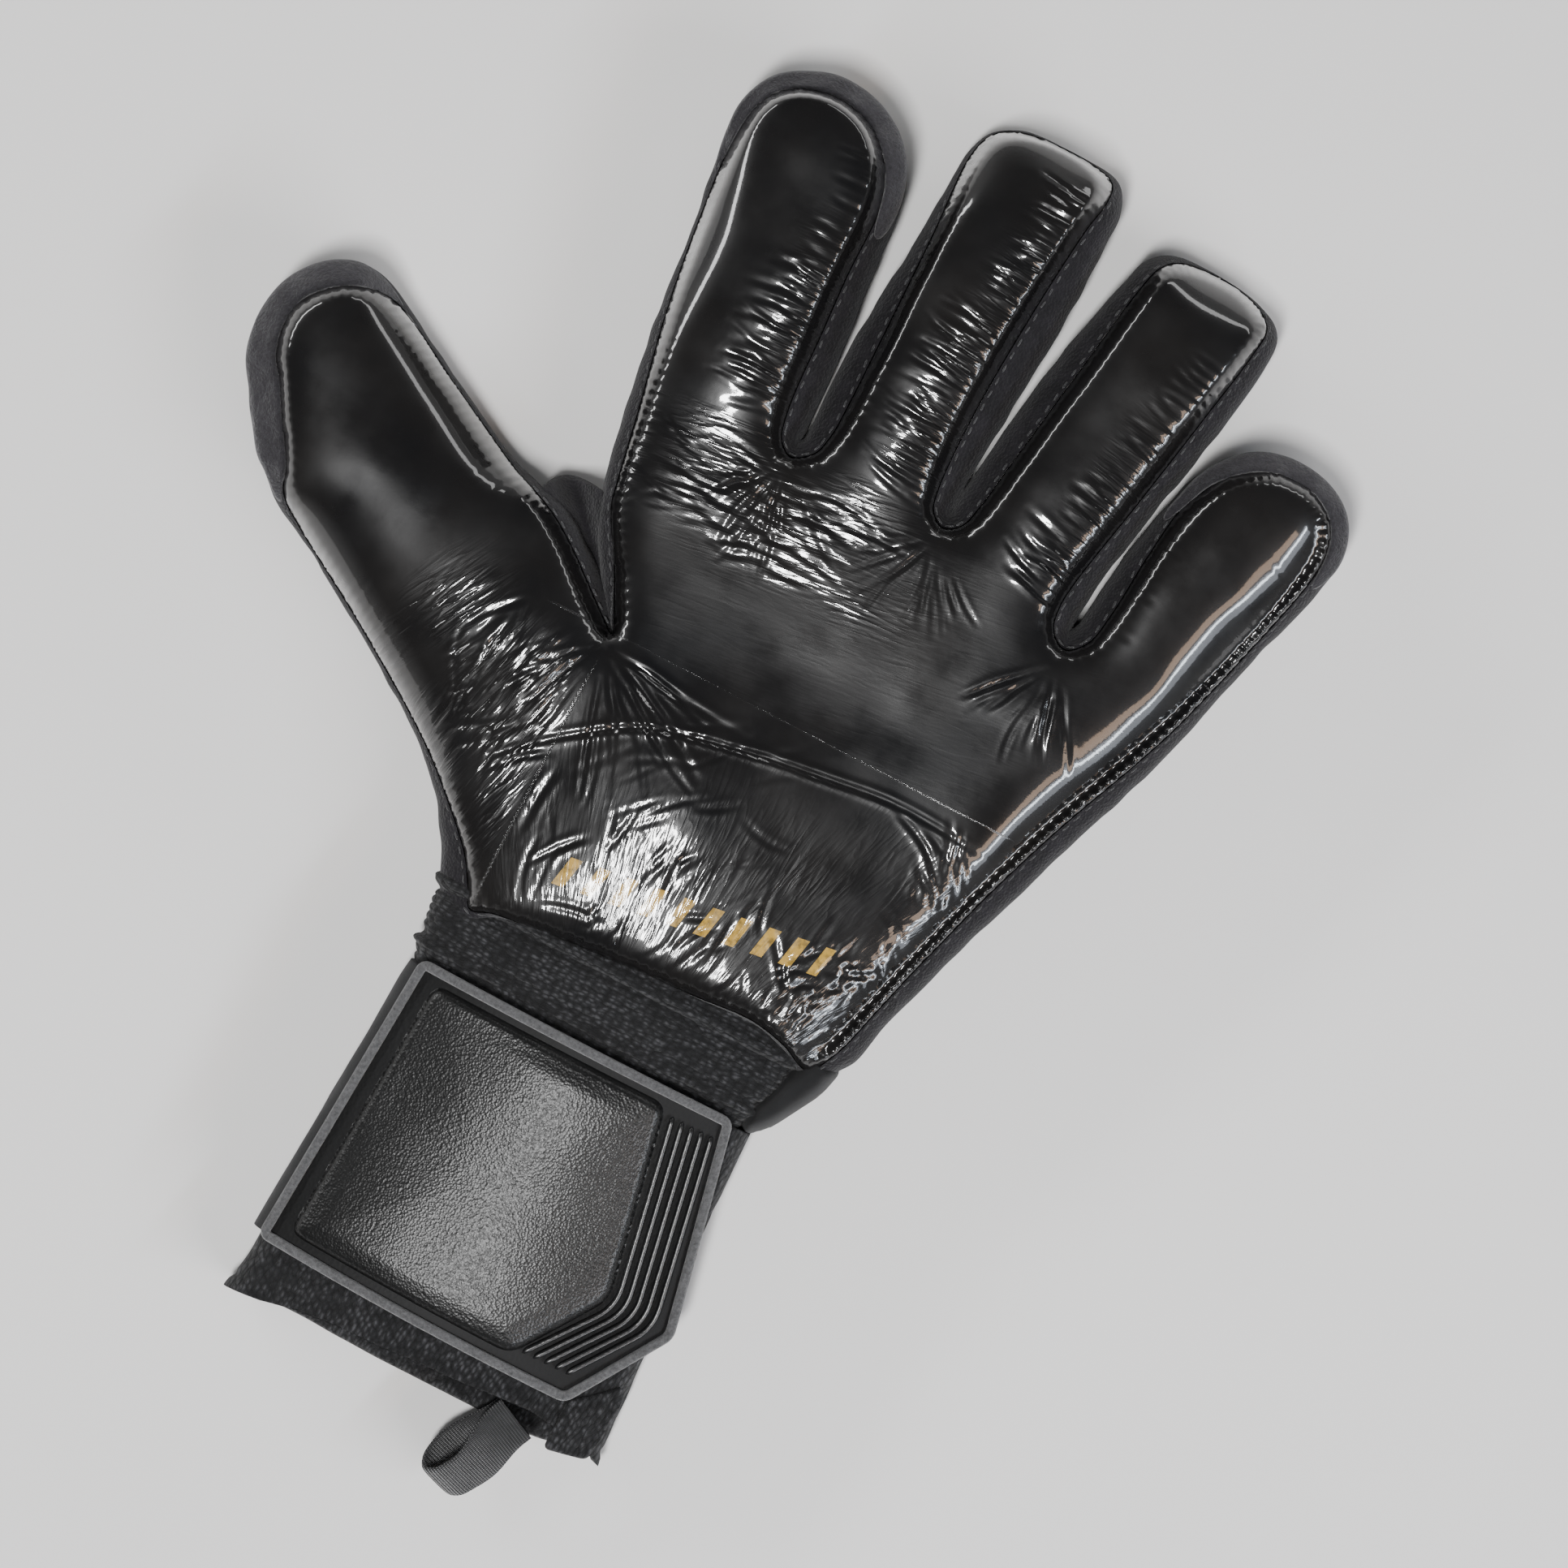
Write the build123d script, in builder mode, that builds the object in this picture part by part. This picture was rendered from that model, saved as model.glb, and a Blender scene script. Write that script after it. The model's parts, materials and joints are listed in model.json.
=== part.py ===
"""Left-hand goalkeeper glove, empty, lying on its back with the palm up.

Millimetres. +Y runs from the cuff to the fingertips, +Z out of the palm, and the thumb
points to -X. The origin is the middle of the flat back of the hand, which rests on Z = 0.
Each wall of the glove is a piece of its own: latex palm side, foam back, fabric sides.
"""

import math
import os
from dataclasses import dataclass

from build123d import *

# ---- heights shared by the whole glove ----
BACK_INNER = 5.0  # inside of the back
PALM_INNER = 20.0  # inside of the palm
HINGE_HEIGHT = 18.0  # where the finger joints turn, just under the latex
DIGIT_BACK = 0.5  # lowest line of a finger
DIGIT_BACK_EDGE = 2.5
DIGIT_TOP = 27.5  # highest line of a finger
DIGIT_TOP_EDGE = 24.0
SIDE_WALL = 4.5  # how far the fabric side bulges out of the latex edge
TIP_WALL = 4.5
HIGH = 60.0  # taller than the glove, for cutting prisms

# ---- gaps between pieces that move ----
SLIT = 0.3
FLEX_DROP = 0.5  # how far a flex zone stands above the hinge line
BEND_SPARE = 1.0  # degrees of free angle left when a joint is fully bent
NOTCH_SHARE = 0.98  # of the height where a digit's two notches would meet
SEWN_OVERLAP = 0.02  # how far a sewn edge reaches into its neighbour

# ---- hand ----
FOAM_TOP = 22.0
HAND_TOP = 30.0
HAND_ARCH_RADIUS = 300.0
HAND_ARCH_X = 8.0
WEB_THICKNESS = 1.0
CROTCH_RADIUS = 3.8
CROTCH_SETBACK = 4.6
WEB_RUN = 14.0  # how far the web gusset follows the thumb
WEB_EDGE = [(-52.5, 33.5), (-50.2, 36.0), (-38.1, 17.2)]  # its side towards the index finger

# ---- cuff and strap ----
CUFF_TOP_Y = -64.0
CUFF_END_Y = -144.0
CUFF_LEFT = ((-39.3, CUFF_TOP_Y), (-44.0, CUFF_END_Y))
CUFF_RIGHT = ((38.5, CUFF_TOP_Y), (42.0, CUFF_END_Y))
CUFF_SIDE_BULGE = 4.0
CUFF_BACK = 0.5
CUFF_SHOULDER = 17.0  # where the side bands meet the arched front
CUFF_WALL = 3.5
ARCH_X = -1.5
ARCH_RADIUS = 123.0
ARCH_CENTRE_Z = 25.0 - ARCH_RADIUS
PATCH = 1.0  # thickness of the loop patch and of the hook patch
STRAP_GAP = 0.3
STRAP_BASE = 1.6
TAPE_THICKNESS = 2.0
TAPE_WIDTH = 2.3
PAD_THICKNESS = 3.2
RIB_HEIGHT = 1.7
RIB_WIDTH = 1.1
RIB_PITCH = 2.25
RIB_COUNT = 5
RIB_BEND = 3.0  # radius where a rib turns
RIB_DROP = 0.08  # each rib's corner sits a little lower than the last one's
RIB_SPREAD = 1.12  # and its foot a little further out
STRAP_ROOT_Y = (-67.0, -127.0)
STRAP_ROOT_OUT = 0.75  # from the cuff's side line to the middle of the sewn fold
STRAP_ROOT_MIDDLE = 12.5
STRAP_ROOT_THICKNESS = 1.3
STRAP_ROOT_HEIGHT = 13.0

# ---- wrist ----
HAND_END_Y = -46.0
BAND_START_Y = HAND_END_Y - 0.4
BAND_END_Y = CUFF_TOP_Y + 0.4
BAND_WALL = 2.2
BAND_BOTTOM = 1.5
BAND_CORNER = 8.0
BAND_ENDS = [  # y, left, right, top
    (BAND_START_Y, -43.5, 43.0, 25.0),
    (BAND_END_Y, -39.0, 37.0, 22.5),
]
GORE_LOW = 6.0
GORE_HIGH = 18.0
GORE_PLAN = [(43.4, BAND_START_Y), (49.0, BAND_START_Y), (48.0, -52), (41.5, -61.5), (37.8, BAND_END_Y)]

# ---- pull loop ----
LOOP_ROOT = (22.0, CUFF_END_Y - 0.6)
LOOP_LEAN = 205.0  # degrees clockwise from +Y: it hangs off the cuff towards the thumb
LOOP_LENGTH = 20.0
LOOP_HEIGHT = 9.0
LOOP_WIDTH = 11.0
LOOP_RIBBON = 1.4
LOOP_CORNER = LOOP_HEIGHT / 2 - 0.2
LOOP_LOW = 4.0

os.makedirs("parts", exist_ok=True)


def write(builder, label):
    """One STEP file per sub-part, named after its node."""
    builder.part.label = label
    export_step(builder.part, f"parts/{label}.step")


# ======================================================================
# Digits: each has a lower and an upper part, of four walls, and a closed tip
# ======================================================================


@dataclass
class Digit:
    name: str
    base: tuple  # centre of the base joint in plan
    lean: float  # degrees clockwise from +Y
    width: float
    length: float  # base joint to fingertip
    middle: float  # base joint to middle joint
    tip_radius: float
    bends: tuple  # largest bend at the base joint and at the middle joint

    @property
    def across(self):
        turn = math.radians(self.lean)
        return (math.cos(turn), -math.sin(turn), 0)

    @property
    def along(self):
        turn = math.radians(self.lean)
        return (math.sin(turn), math.cos(turn), 0)

    @property
    def inner_half(self):
        return self.width / 2 - SIDE_WALL

    def plan(self, height=0.0):
        """x across the digit, y along it."""
        return Plane(origin=(*self.base, height), x_dir=self.across, z_dir=(0, 0, 1))

    def section(self):
        """x across the digit, y up; extruding by a negative amount goes to the tip."""
        back = tuple(-v for v in self.along)
        return Plane(origin=(*self.base, 0), x_dir=self.across, z_dir=back)

    def side(self):
        """x along the digit, y up."""
        return Plane(origin=(*self.base, 0), x_dir=self.along, z_dir=self.across)

    def end(self, sign, height=0.0):
        """Where the base line meets the side at x = sign * half the width."""
        return self.plan(height).from_local_coords((sign * self.width / 2, 0, 0))


DIGITS = [
    Digit("index", (-38.3, 65.0), -3.5, 37.5, 73.5, 34.0, 17.5, (55, 60)),
    Digit("middle", (-1.2, 65.5), 3.3, 34.5, 82.5, 37.0, 9.0, (55, 60)),
    Digit("ring", (33.9, 61.5), 8.4, 33.5, 78.0, 35.0, 9.5, (55, 60)),
    Digit("little", (66.9, 53.0), 11.5, 30.5, 58.0, 27.0, 14.5, (55, 60)),
    Digit("thumb", (-56.0, 2.0), -60.5, 45.0, 84.5, 38.0, 21.0, (40, 50)),
]


def joint_reach(bend, height):
    """How far a joint's V notch opens along the digit, at a height above the hinge."""
    return math.tan(math.radians(bend / 2 + BEND_SPARE / 2)) * height


def lower_region(digit):
    """Side view of the part between the base joint and the middle joint."""
    base, middle = (joint_reach(bend, HIGH) for bend in digit.bends)
    rise = HINGE_HEIGHT + HIGH
    crossing = digit.middle * HIGH / (base + middle)
    near, far = SLIT / 2, digit.middle - SLIT / 2
    if crossing < HIGH:
        lowered = crossing * NOTCH_SHARE
        rise = HINGE_HEIGHT + lowered
        base, middle = (reach * lowered / HIGH for reach in (base, middle))
    return [
        (near, -HIGH),
        (near, HINGE_HEIGHT),
        (near + base, rise),
        (far - middle, rise),
        (far, HINGE_HEIGHT),
        (far, -HIGH),
    ]


def upper_region(digit):
    """Side view of everything beyond the middle joint."""
    near = digit.middle + SLIT / 2
    return [
        (near, -HIGH),
        (near, HINGE_HEIGHT),
        (near + joint_reach(digit.bends[1], HIGH), HINGE_HEIGHT + HIGH),
        (digit.length + HIGH, HINGE_HEIGHT + HIGH),
        (digit.length + HIGH, -HIGH),
    ]


def flex_region(at, bend):
    """Side view of the soft wedge that folds up when a joint bends."""
    foot = HINGE_HEIGHT + FLEX_DROP
    reach = joint_reach(bend, HIGH)
    return [(at, foot), (at + reach, foot + HIGH), (at - reach, foot + HIGH)]


def prism(plane, points, amount, both=False):
    """Straight-sided block over a polygon, for cutting other pieces."""
    with BuildPart() as block:
        with BuildSketch(plane):
            Polygon(*points, align=None)
        extrude(amount=amount, both=both)
    return block.part


def side_block(digit, points):
    """Everything inside a side-view outline of a digit."""
    return prism(digit.side(), points, digit.width, both=True)


def tip_block(digit, inset):
    """Plan of a digit drawn in by inset, with rounded far corners, as a tall block."""
    with BuildPart() as block:
        with BuildSketch(digit.plan()) as bar:
            Rectangle(digit.width - 2 * inset, 2 * (digit.length - inset))
            fillet(bar.vertices().group_by(Axis.Y)[-1], digit.tip_radius - inset)
        extrude(amount=HIGH)
    return block.part


def latex_section(half):
    """Top wall: flat inside, arched outside."""
    with BuildSketch() as wall:
        with BuildLine():
            Polyline(
                (-half, DIGIT_TOP_EDGE),
                (-half, PALM_INNER),
                (half, PALM_INNER),
                (half, DIGIT_TOP_EDGE),
            )
            ThreePointArc((half, DIGIT_TOP_EDGE), (0, DIGIT_TOP), (-half, DIGIT_TOP_EDGE))
        make_face()
    return wall.sketch


def back_section(half):
    """Bottom wall: flat inside, slightly arched outside."""
    with BuildSketch() as wall:
        with BuildLine():
            Polyline(
                (-half, DIGIT_BACK_EDGE),
                (-half, BACK_INNER),
                (half, BACK_INNER),
                (half, DIGIT_BACK_EDGE),
            )
            ThreePointArc((half, DIGIT_BACK_EDGE), (0, DIGIT_BACK), (-half, DIGIT_BACK_EDGE))
        make_face()
    return wall.sketch


def gusset_sections(half):
    """Both side walls: flat inside, bulging outwards."""
    middle = (DIGIT_TOP_EDGE + DIGIT_BACK_EDGE) / 2
    with BuildSketch() as walls:
        with BuildLine():
            Line((half, DIGIT_BACK_EDGE), (half, DIGIT_TOP_EDGE))
            ThreePointArc((half, DIGIT_TOP_EDGE), (half + SIDE_WALL, middle), (half, DIGIT_BACK_EDGE))
        make_face()
        mirror(about=Plane.YZ)
    return walls.sketch


def digit_wall(digit, section, region):
    """A wall over one part of a digit, rounded off inside the tip."""
    with BuildPart() as wall:
        with BuildSketch(digit.section()):
            add(section(digit.inner_half))
        extrude(amount=-digit.length)
        add(tip_block(digit, TIP_WALL), mode=Mode.INTERSECT)
        add(side_block(digit, region), mode=Mode.INTERSECT)
    return wall


def gusset_pair(digit, region):
    """The two fabric side walls over one part of a digit."""
    with BuildPart() as pair:
        with BuildSketch(digit.section()):
            add(gusset_sections(digit.inner_half))
        extrude(amount=-(digit.length - digit.tip_radius))
        add(side_block(digit, region), mode=Mode.INTERSECT)
    return pair


def tip_wall(digit):
    """The closed end: a band that runs round the tip from one side wall to the other."""
    straight = digit.length - digit.tip_radius
    with BuildPart() as tip:
        with BuildSketch(digit.plan(DIGIT_BACK_EDGE)) as bar:
            Rectangle(digit.width, 2 * digit.length)
            fillet(bar.vertices().group_by(Axis.Y)[-1], digit.tip_radius)
            with Locations((0, straight)):
                Rectangle(2 * digit.width, 3 * HIGH, align=(Align.CENTER, Align.MAX), mode=Mode.SUBTRACT)
        extrude(amount=DIGIT_TOP_EDGE - DIGIT_BACK_EDGE)
        add(tip_block(digit, TIP_WALL), mode=Mode.SUBTRACT)
    return tip


def flex_zones(digit):
    """The soft wedges of latex and side fabric at the base joint and the middle joint."""
    with BuildPart() as wedges:
        for at, bend in zip((0, digit.middle), digit.bends):
            add(side_block(digit, flex_region(at, bend)))
    with BuildPart() as zones:
        with BuildSketch(digit.section()):
            add(latex_section(digit.inner_half))
            add(gusset_sections(digit.inner_half))
        extrude(amount=2 * digit.middle, both=True)
        add(wedges.part, mode=Mode.INTERSECT)
    return zones


for digit in DIGITS:
    for part_name, region in (("lower", lower_region(digit)), ("upper", upper_region(digit))):
        write(digit_wall(digit, latex_section, region), f"{digit.name}_{part_name}_latex")
        write(digit_wall(digit, back_section, region), f"{digit.name}_{part_name}_back")
        write(gusset_pair(digit, region), f"{digit.name}_{part_name}_gussets")
    write(tip_wall(digit), f"{digit.name}_tip")
    write(flex_zones(digit), f"{digit.name}_flex_zones")

# ======================================================================
# Hand: latex palm, foam under it, foam back, fabric sides
# ======================================================================

INDEX, MIDDLE, RING, LITTLE, THUMB = DIGITS
WEB_APEX = (-36.5, 15.0)
WEB_CORNER = (-49.5, 37.0)
WEB_SIDE = (-52.5, 50.0)
OUTER_MIDDLE = (64.5, 0.0)
OUTER_END = (49.5, HAND_END_Y)
HEEL_END = (-44.5, HAND_END_Y)
HEEL_MIDDLE = (-54.0, -31.2)
SIDE_AREAS = [
    [(48, -70), (140, -70), (140, 60), (72, 60), (42, -30), (42, -70)],
    [(-90, 38), (-44, 38), (-44, 80), (-90, 80)],
    [(-90, -70), (-40, -70), (-34, -45), (-62, -14), (-90, -14)],
]


def ends(digit):
    """The two ends of a digit's base line, as plain x, y pairs."""
    return [(digit.end(sign).X, digit.end(sign).Y) for sign in (-1, 1)]


def hand_plan():
    """Plan of the hand between the digits' base lines and the wrist."""
    thumb_low, thumb_high = ends(THUMB)
    knuckles = [*ends(INDEX), *ends(MIDDLE), *ends(RING), *ends(LITTLE)]
    with BuildSketch() as plan:
        with BuildLine():
            ThreePointArc(knuckles[-1], OUTER_MIDDLE, OUTER_END)
            Line(OUTER_END, HEEL_END)
            ThreePointArc(HEEL_END, HEEL_MIDDLE, thumb_low)
            Polyline(thumb_low, thumb_high, WEB_APEX, WEB_CORNER)
            ThreePointArc(WEB_CORNER, WEB_SIDE, knuckles[0])
            Polyline(*knuckles)
        make_face()
    return plan.sketch


def digit_space(digit, half_width):
    """Everything beyond a digit's base joint, with the slope of the notch it bends into."""
    reach = joint_reach(digit.bends[0], HIGH)
    beyond = [
        (-SLIT / 2, -HIGH),
        (-SLIT / 2, HINGE_HEIGHT),
        (-SLIT / 2 - reach, HINGE_HEIGHT + HIGH),
        (HIGH, HINGE_HEIGHT + HIGH),
        (HIGH, -HIGH),
    ]
    return prism(digit.side(), beyond, half_width, both=True)


def hand_layer(low, high):
    """Slab of the hand, cut back behind every digit's base joint with the notch's slope."""
    with BuildPart() as layer:
        with BuildSketch(Plane.XY.offset(low)):
            add(hand_plan())
        extrude(amount=high - low)
        for digit in DIGITS:
            add(digit_space(digit, digit.width / 2 + SLIT), mode=Mode.SUBTRACT)
    return layer.part


with BuildPart() as palm_latex:
    with BuildSketch(Plane.XZ):
        with Locations((HAND_ARCH_X, HAND_TOP - HAND_ARCH_RADIUS)):
            Circle(HAND_ARCH_RADIUS)
    extrude(amount=4 * HIGH, both=True)
    add(hand_layer(FOAM_TOP, HAND_TOP), mode=Mode.INTERSECT)
write(palm_latex, "palm_latex")

with BuildPart() as palm_foam:
    add(hand_layer(PALM_INNER, FOAM_TOP))
write(palm_foam, "palm_foam")

with BuildPart() as back_panel:
    add(hand_layer(0, BACK_INNER))
write(back_panel, "back_panel")


def hand_side_wall(area):
    """The stretch of the hand's fabric side wall that lies inside one area of the plan."""
    with BuildPart() as wall:
        with BuildSketch(Plane.XY.offset(BACK_INNER)):
            add(hand_plan())
            offset(hand_plan(), amount=-SIDE_WALL, mode=Mode.SUBTRACT)
        extrude(amount=PALM_INNER - BACK_INNER)
        add(prism(Plane.XY, area, HIGH), mode=Mode.INTERSECT)
        for digit in DIGITS:
            add(digit_space(digit, digit.width), mode=Mode.SUBTRACT)
    return wall.part


with BuildPart() as side_gussets:
    for area in SIDE_AREAS:
        add(hand_side_wall(area))
write(side_gussets, "side_gussets")

with BuildPart() as thumb_web_gusset:
    with BuildSketch(Plane.XY.offset(BACK_INNER)):
        thumb_side = THUMB.end(1)
        run = THUMB.along
        clear = (WEB_THICKNESS * THUMB.across[0], WEB_THICKNESS * THUMB.across[1])
        near = (thumb_side.X + clear[0], thumb_side.Y + clear[1])
        far = (near[0] + WEB_RUN * run[0], near[1] + WEB_RUN * run[1])
        Polygon(near, far, *WEB_EDGE, align=None)
    extrude(amount=PALM_INNER - BACK_INNER)
write(thumb_web_gusset, "thumb_web_gusset")

with BuildPart() as crotch_gussets:
    for left, right in ((INDEX, MIDDLE), (MIDDLE, RING), (RING, LITTLE)):
        crotch = (left.end(1) + right.end(-1)) / 2
        lowest = min(left.end(1).Y, right.end(-1).Y)
        with Locations((crotch.X, lowest - CROTCH_SETBACK, BACK_INNER)):
            Cylinder(CROTCH_RADIUS, PALM_INNER - BACK_INNER, align=(Align.CENTER, Align.CENTER, Align.MIN))
write(crotch_gussets, "crotch_gussets")

# ======================================================================
# Wrist: knitted band between hand and cuff, with a gore on the little-finger side
# ======================================================================


def wrist_tube(inset):
    """Rounded tube of the wrist band, drawn in by inset; it narrows towards the cuff."""
    with BuildPart() as tube:
        for y, left, right, top in BAND_ENDS:
            wide = right - left - 2 * inset
            tall = top - BAND_BOTTOM - 2 * inset
            with BuildSketch(Plane.XZ.offset(-y)):
                with Locations(((left + right) / 2, (top + BAND_BOTTOM) / 2)):
                    RectangleRounded(wide, tall, BAND_CORNER - inset)
        loft()
    return tube.part


with BuildPart() as wrist_band:
    add(wrist_tube(0))
    add(wrist_tube(BAND_WALL), mode=Mode.SUBTRACT)
write(wrist_band, "wrist_band")

with BuildPart() as wrist_side_gore:
    with BuildSketch(Plane.XY.offset(GORE_LOW)):
        Polygon(*GORE_PLAN, align=None)
    extrude(amount=GORE_HIGH - GORE_LOW)
write(wrist_side_gore, "wrist_side_gore")

# ======================================================================
# Cuff: flared tube of four walls
# ======================================================================

CUFF_PLAN = [
    (CUFF_LEFT[0][0] + CUFF_SIDE_BULGE, CUFF_TOP_Y),
    (CUFF_RIGHT[0][0] - CUFF_SIDE_BULGE, CUFF_TOP_Y),
    (CUFF_RIGHT[1][0] - CUFF_SIDE_BULGE, CUFF_END_Y),
    (CUFF_LEFT[1][0] + CUFF_SIDE_BULGE, CUFF_END_Y),
]


def arch_layer(inner, outer):
    """Layer that follows the cuff's arched front, between two heights above it."""
    with BuildPart() as layer:
        with BuildSketch(Plane.XZ):
            with Locations((ARCH_X, ARCH_CENTRE_Z)):
                Circle(ARCH_RADIUS + outer)
                Circle(ARCH_RADIUS + inner, mode=Mode.SUBTRACT)
        extrude(amount=4 * HIGH, both=True)
    return layer.part


def arch_patch(inner, outer, points):
    """A piece of such a layer with a straight-sided plan."""
    with BuildPart() as patch:
        add(prism(Plane.XY, points, HIGH))
        add(arch_layer(inner, outer), mode=Mode.INTERSECT)
    return patch


write(arch_patch(-CUFF_WALL, 0, CUFF_PLAN), "cuff_front_panel")

with BuildPart() as cuff_back_panel:
    add(prism(Plane.XY.offset(CUFF_BACK), CUFF_PLAN, CUFF_WALL))
write(cuff_back_panel, "cuff_back_panel")


def side_section_plane(line):
    """x out of the cuff, y up, looking along one side line of the cuff."""
    (x0, y0), (x1, y1) = line
    run = Vector(x1 - x0, y1 - y0, 0).normalized()
    outward = Vector(run.Y, -run.X, 0) if x0 < 0 else Vector(-run.Y, run.X, 0)
    return Plane(origin=(x0, y0, 0), x_dir=outward, z_dir=outward.cross(Vector(0, 0, 1)))


def between(near, far):
    """Everything between two y positions, as a tall block."""
    corners = [(-4 * HIGH, near), (4 * HIGH, near), (4 * HIGH, far), (-4 * HIGH, far)]
    return prism(Plane.XY, corners, HIGH)


with BuildPart() as cuff_side_bands:
    for line in (CUFF_LEFT, CUFF_RIGHT):
        with BuildSketch(side_section_plane(line)):
            with BuildLine():
                inner = SEWN_OVERLAP - CUFF_SIDE_BULGE
                shoulder = (inner, CUFF_SHOULDER)
                Line((inner, CUFF_BACK), shoulder)
                ThreePointArc(shoulder, (0, (CUFF_BACK + CUFF_SHOULDER) / 2), (inner, CUFF_BACK))
            make_face()
        extrude(amount=2 * HIGH, both=True)
    add(between(CUFF_TOP_Y, CUFF_END_Y), mode=Mode.INTERSECT)
write(cuff_side_bands, "cuff_side_bands")

with BuildPart() as strap_root:
    with BuildSketch(side_section_plane(CUFF_LEFT)):
        with Locations((STRAP_ROOT_OUT, STRAP_ROOT_MIDDLE)):
            Rectangle(STRAP_ROOT_THICKNESS, STRAP_ROOT_HEIGHT)
    extrude(amount=2 * HIGH, both=True)
    add(between(*STRAP_ROOT_Y), mode=Mode.INTERSECT)
write(strap_root, "strap_root")

LOOP_PATCH_PLAN = [(4, -70), (31, -70), (36.5, -106), (27, -120), (4, -120)]
END_FLAP_PLAN = [(31, -134), (35, -129.5), (38.5, -126), (38, -141.5), (30.5, -142.5)]
write(arch_patch(0, PATCH, LOOP_PATCH_PLAN), "loop_patch")
write(arch_patch(0, PATCH, END_FLAP_PLAN), "cuff_end_flap")

# ======================================================================
# Closure strap: wraps over the cuff from the thumb side, free end cut off at a slant
# ======================================================================

STRAP_UNDER = 2 * PATCH + STRAP_GAP
STRAP_TOP = STRAP_UNDER + STRAP_BASE
STRAP_OUTLINE = [
    (-38.6, CUFF_TOP_Y),
    (34.0, CUFF_TOP_Y),
    (44.0, -110.5),
    (30.0, -132.0),
    (-42.6, -131.0),
]
TAPE_OUTLINE = [(-36.8, CUFF_TOP_Y), *STRAP_OUTLINE[1:4], (-40.8, -130.0)]
PAD_OUTLINE = [(-32.5, -68.3), (20.0, -68.3), (28.0, -109.0), (15.0, -127.5), (-35.8, -126.2)]
PAD_CORNER = 2.5
RIB_FIRST = [(22.6, -68.3), (30.4, -109.6), (17.4, -127.2)]

HOOK_PLAN = [(8, -72), (30, -72), (35.5, -106), (25.5, -118.5), (8, -118.5)]
write(arch_patch(STRAP_UNDER, STRAP_TOP, STRAP_OUTLINE), "strap_base")
write(arch_patch(STRAP_UNDER - PATCH, STRAP_UNDER, HOOK_PLAN), "hook_patch")

with BuildPart() as strap_edge_tape:
    with BuildSketch() as tape_plan:
        Polygon(*TAPE_OUTLINE, align=None)
        offset(tape_plan.face(), amount=-TAPE_WIDTH, kind=Kind.INTERSECTION, mode=Mode.SUBTRACT)
    extrude(amount=HIGH)
    add(arch_layer(STRAP_TOP, STRAP_TOP + TAPE_THICKNESS), mode=Mode.INTERSECT)
write(strap_edge_tape, "strap_edge_tape")

with BuildPart() as strap_pad:
    with BuildSketch() as pad_plan:
        Polygon(*PAD_OUTLINE, align=None)
        fillet(pad_plan.vertices(), PAD_CORNER)
    extrude(amount=HIGH)
    add(arch_layer(STRAP_TOP, STRAP_TOP + PAD_THICKNESS), mode=Mode.INTERSECT)
write(strap_pad, "strap_pad")

with BuildPart() as strap_ribs:
    with BuildSketch():
        for count in range(RIB_COUNT):
            step = count * RIB_PITCH
            top, corner, foot = RIB_FIRST
            with BuildLine() as rib_line:
                FilletPolyline(
                    (top[0] + step, top[1]),
                    (corner[0] + step, corner[1] - RIB_DROP * step),
                    (foot[0] + RIB_SPREAD * step, foot[1]),
                    radius=RIB_BEND,
                )
            trace(rib_line.line, RIB_WIDTH)
    extrude(amount=HIGH)
    add(arch_layer(STRAP_TOP, STRAP_TOP + RIB_HEIGHT), mode=Mode.INTERSECT)
write(strap_ribs, "strap_ribs")

# ======================================================================
# Pull loop: folded ribbon sewn into the cuff's end
# ======================================================================

loop_turn = math.radians(LOOP_LEAN)
loop_along = (math.sin(loop_turn), math.cos(loop_turn), 0)
loop_across = (math.cos(loop_turn), -math.sin(loop_turn), 0)

with BuildPart() as pull_loop:
    with BuildSketch(Plane(origin=(*LOOP_ROOT, LOOP_LOW), x_dir=loop_along, z_dir=loop_across)):
        with Locations((LOOP_LENGTH / 2, LOOP_HEIGHT / 2)):
            RectangleRounded(LOOP_LENGTH, LOOP_HEIGHT, LOOP_CORNER)
            RectangleRounded(
                LOOP_LENGTH - 2 * LOOP_RIBBON,
                LOOP_HEIGHT - 2 * LOOP_RIBBON,
                LOOP_CORNER - LOOP_RIBBON,
                mode=Mode.SUBTRACT,
            )
    extrude(amount=LOOP_WIDTH / 2, both=True)
    with BuildSketch(Plane.XY):
        with Locations((0, CUFF_END_Y - 0.4)):
            Rectangle(4 * HIGH, 2 * HIGH, align=(Align.CENTER, Align.MAX))
    extrude(amount=HIGH, mode=Mode.INTERSECT)
write(pull_loop, "pull_loop")
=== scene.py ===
import json
import math
import random

import bpy
import numpy as np
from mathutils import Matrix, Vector
from mathutils.geometry import delaunay_2d_cdt
from mathutils.kdtree import KDTree


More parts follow.
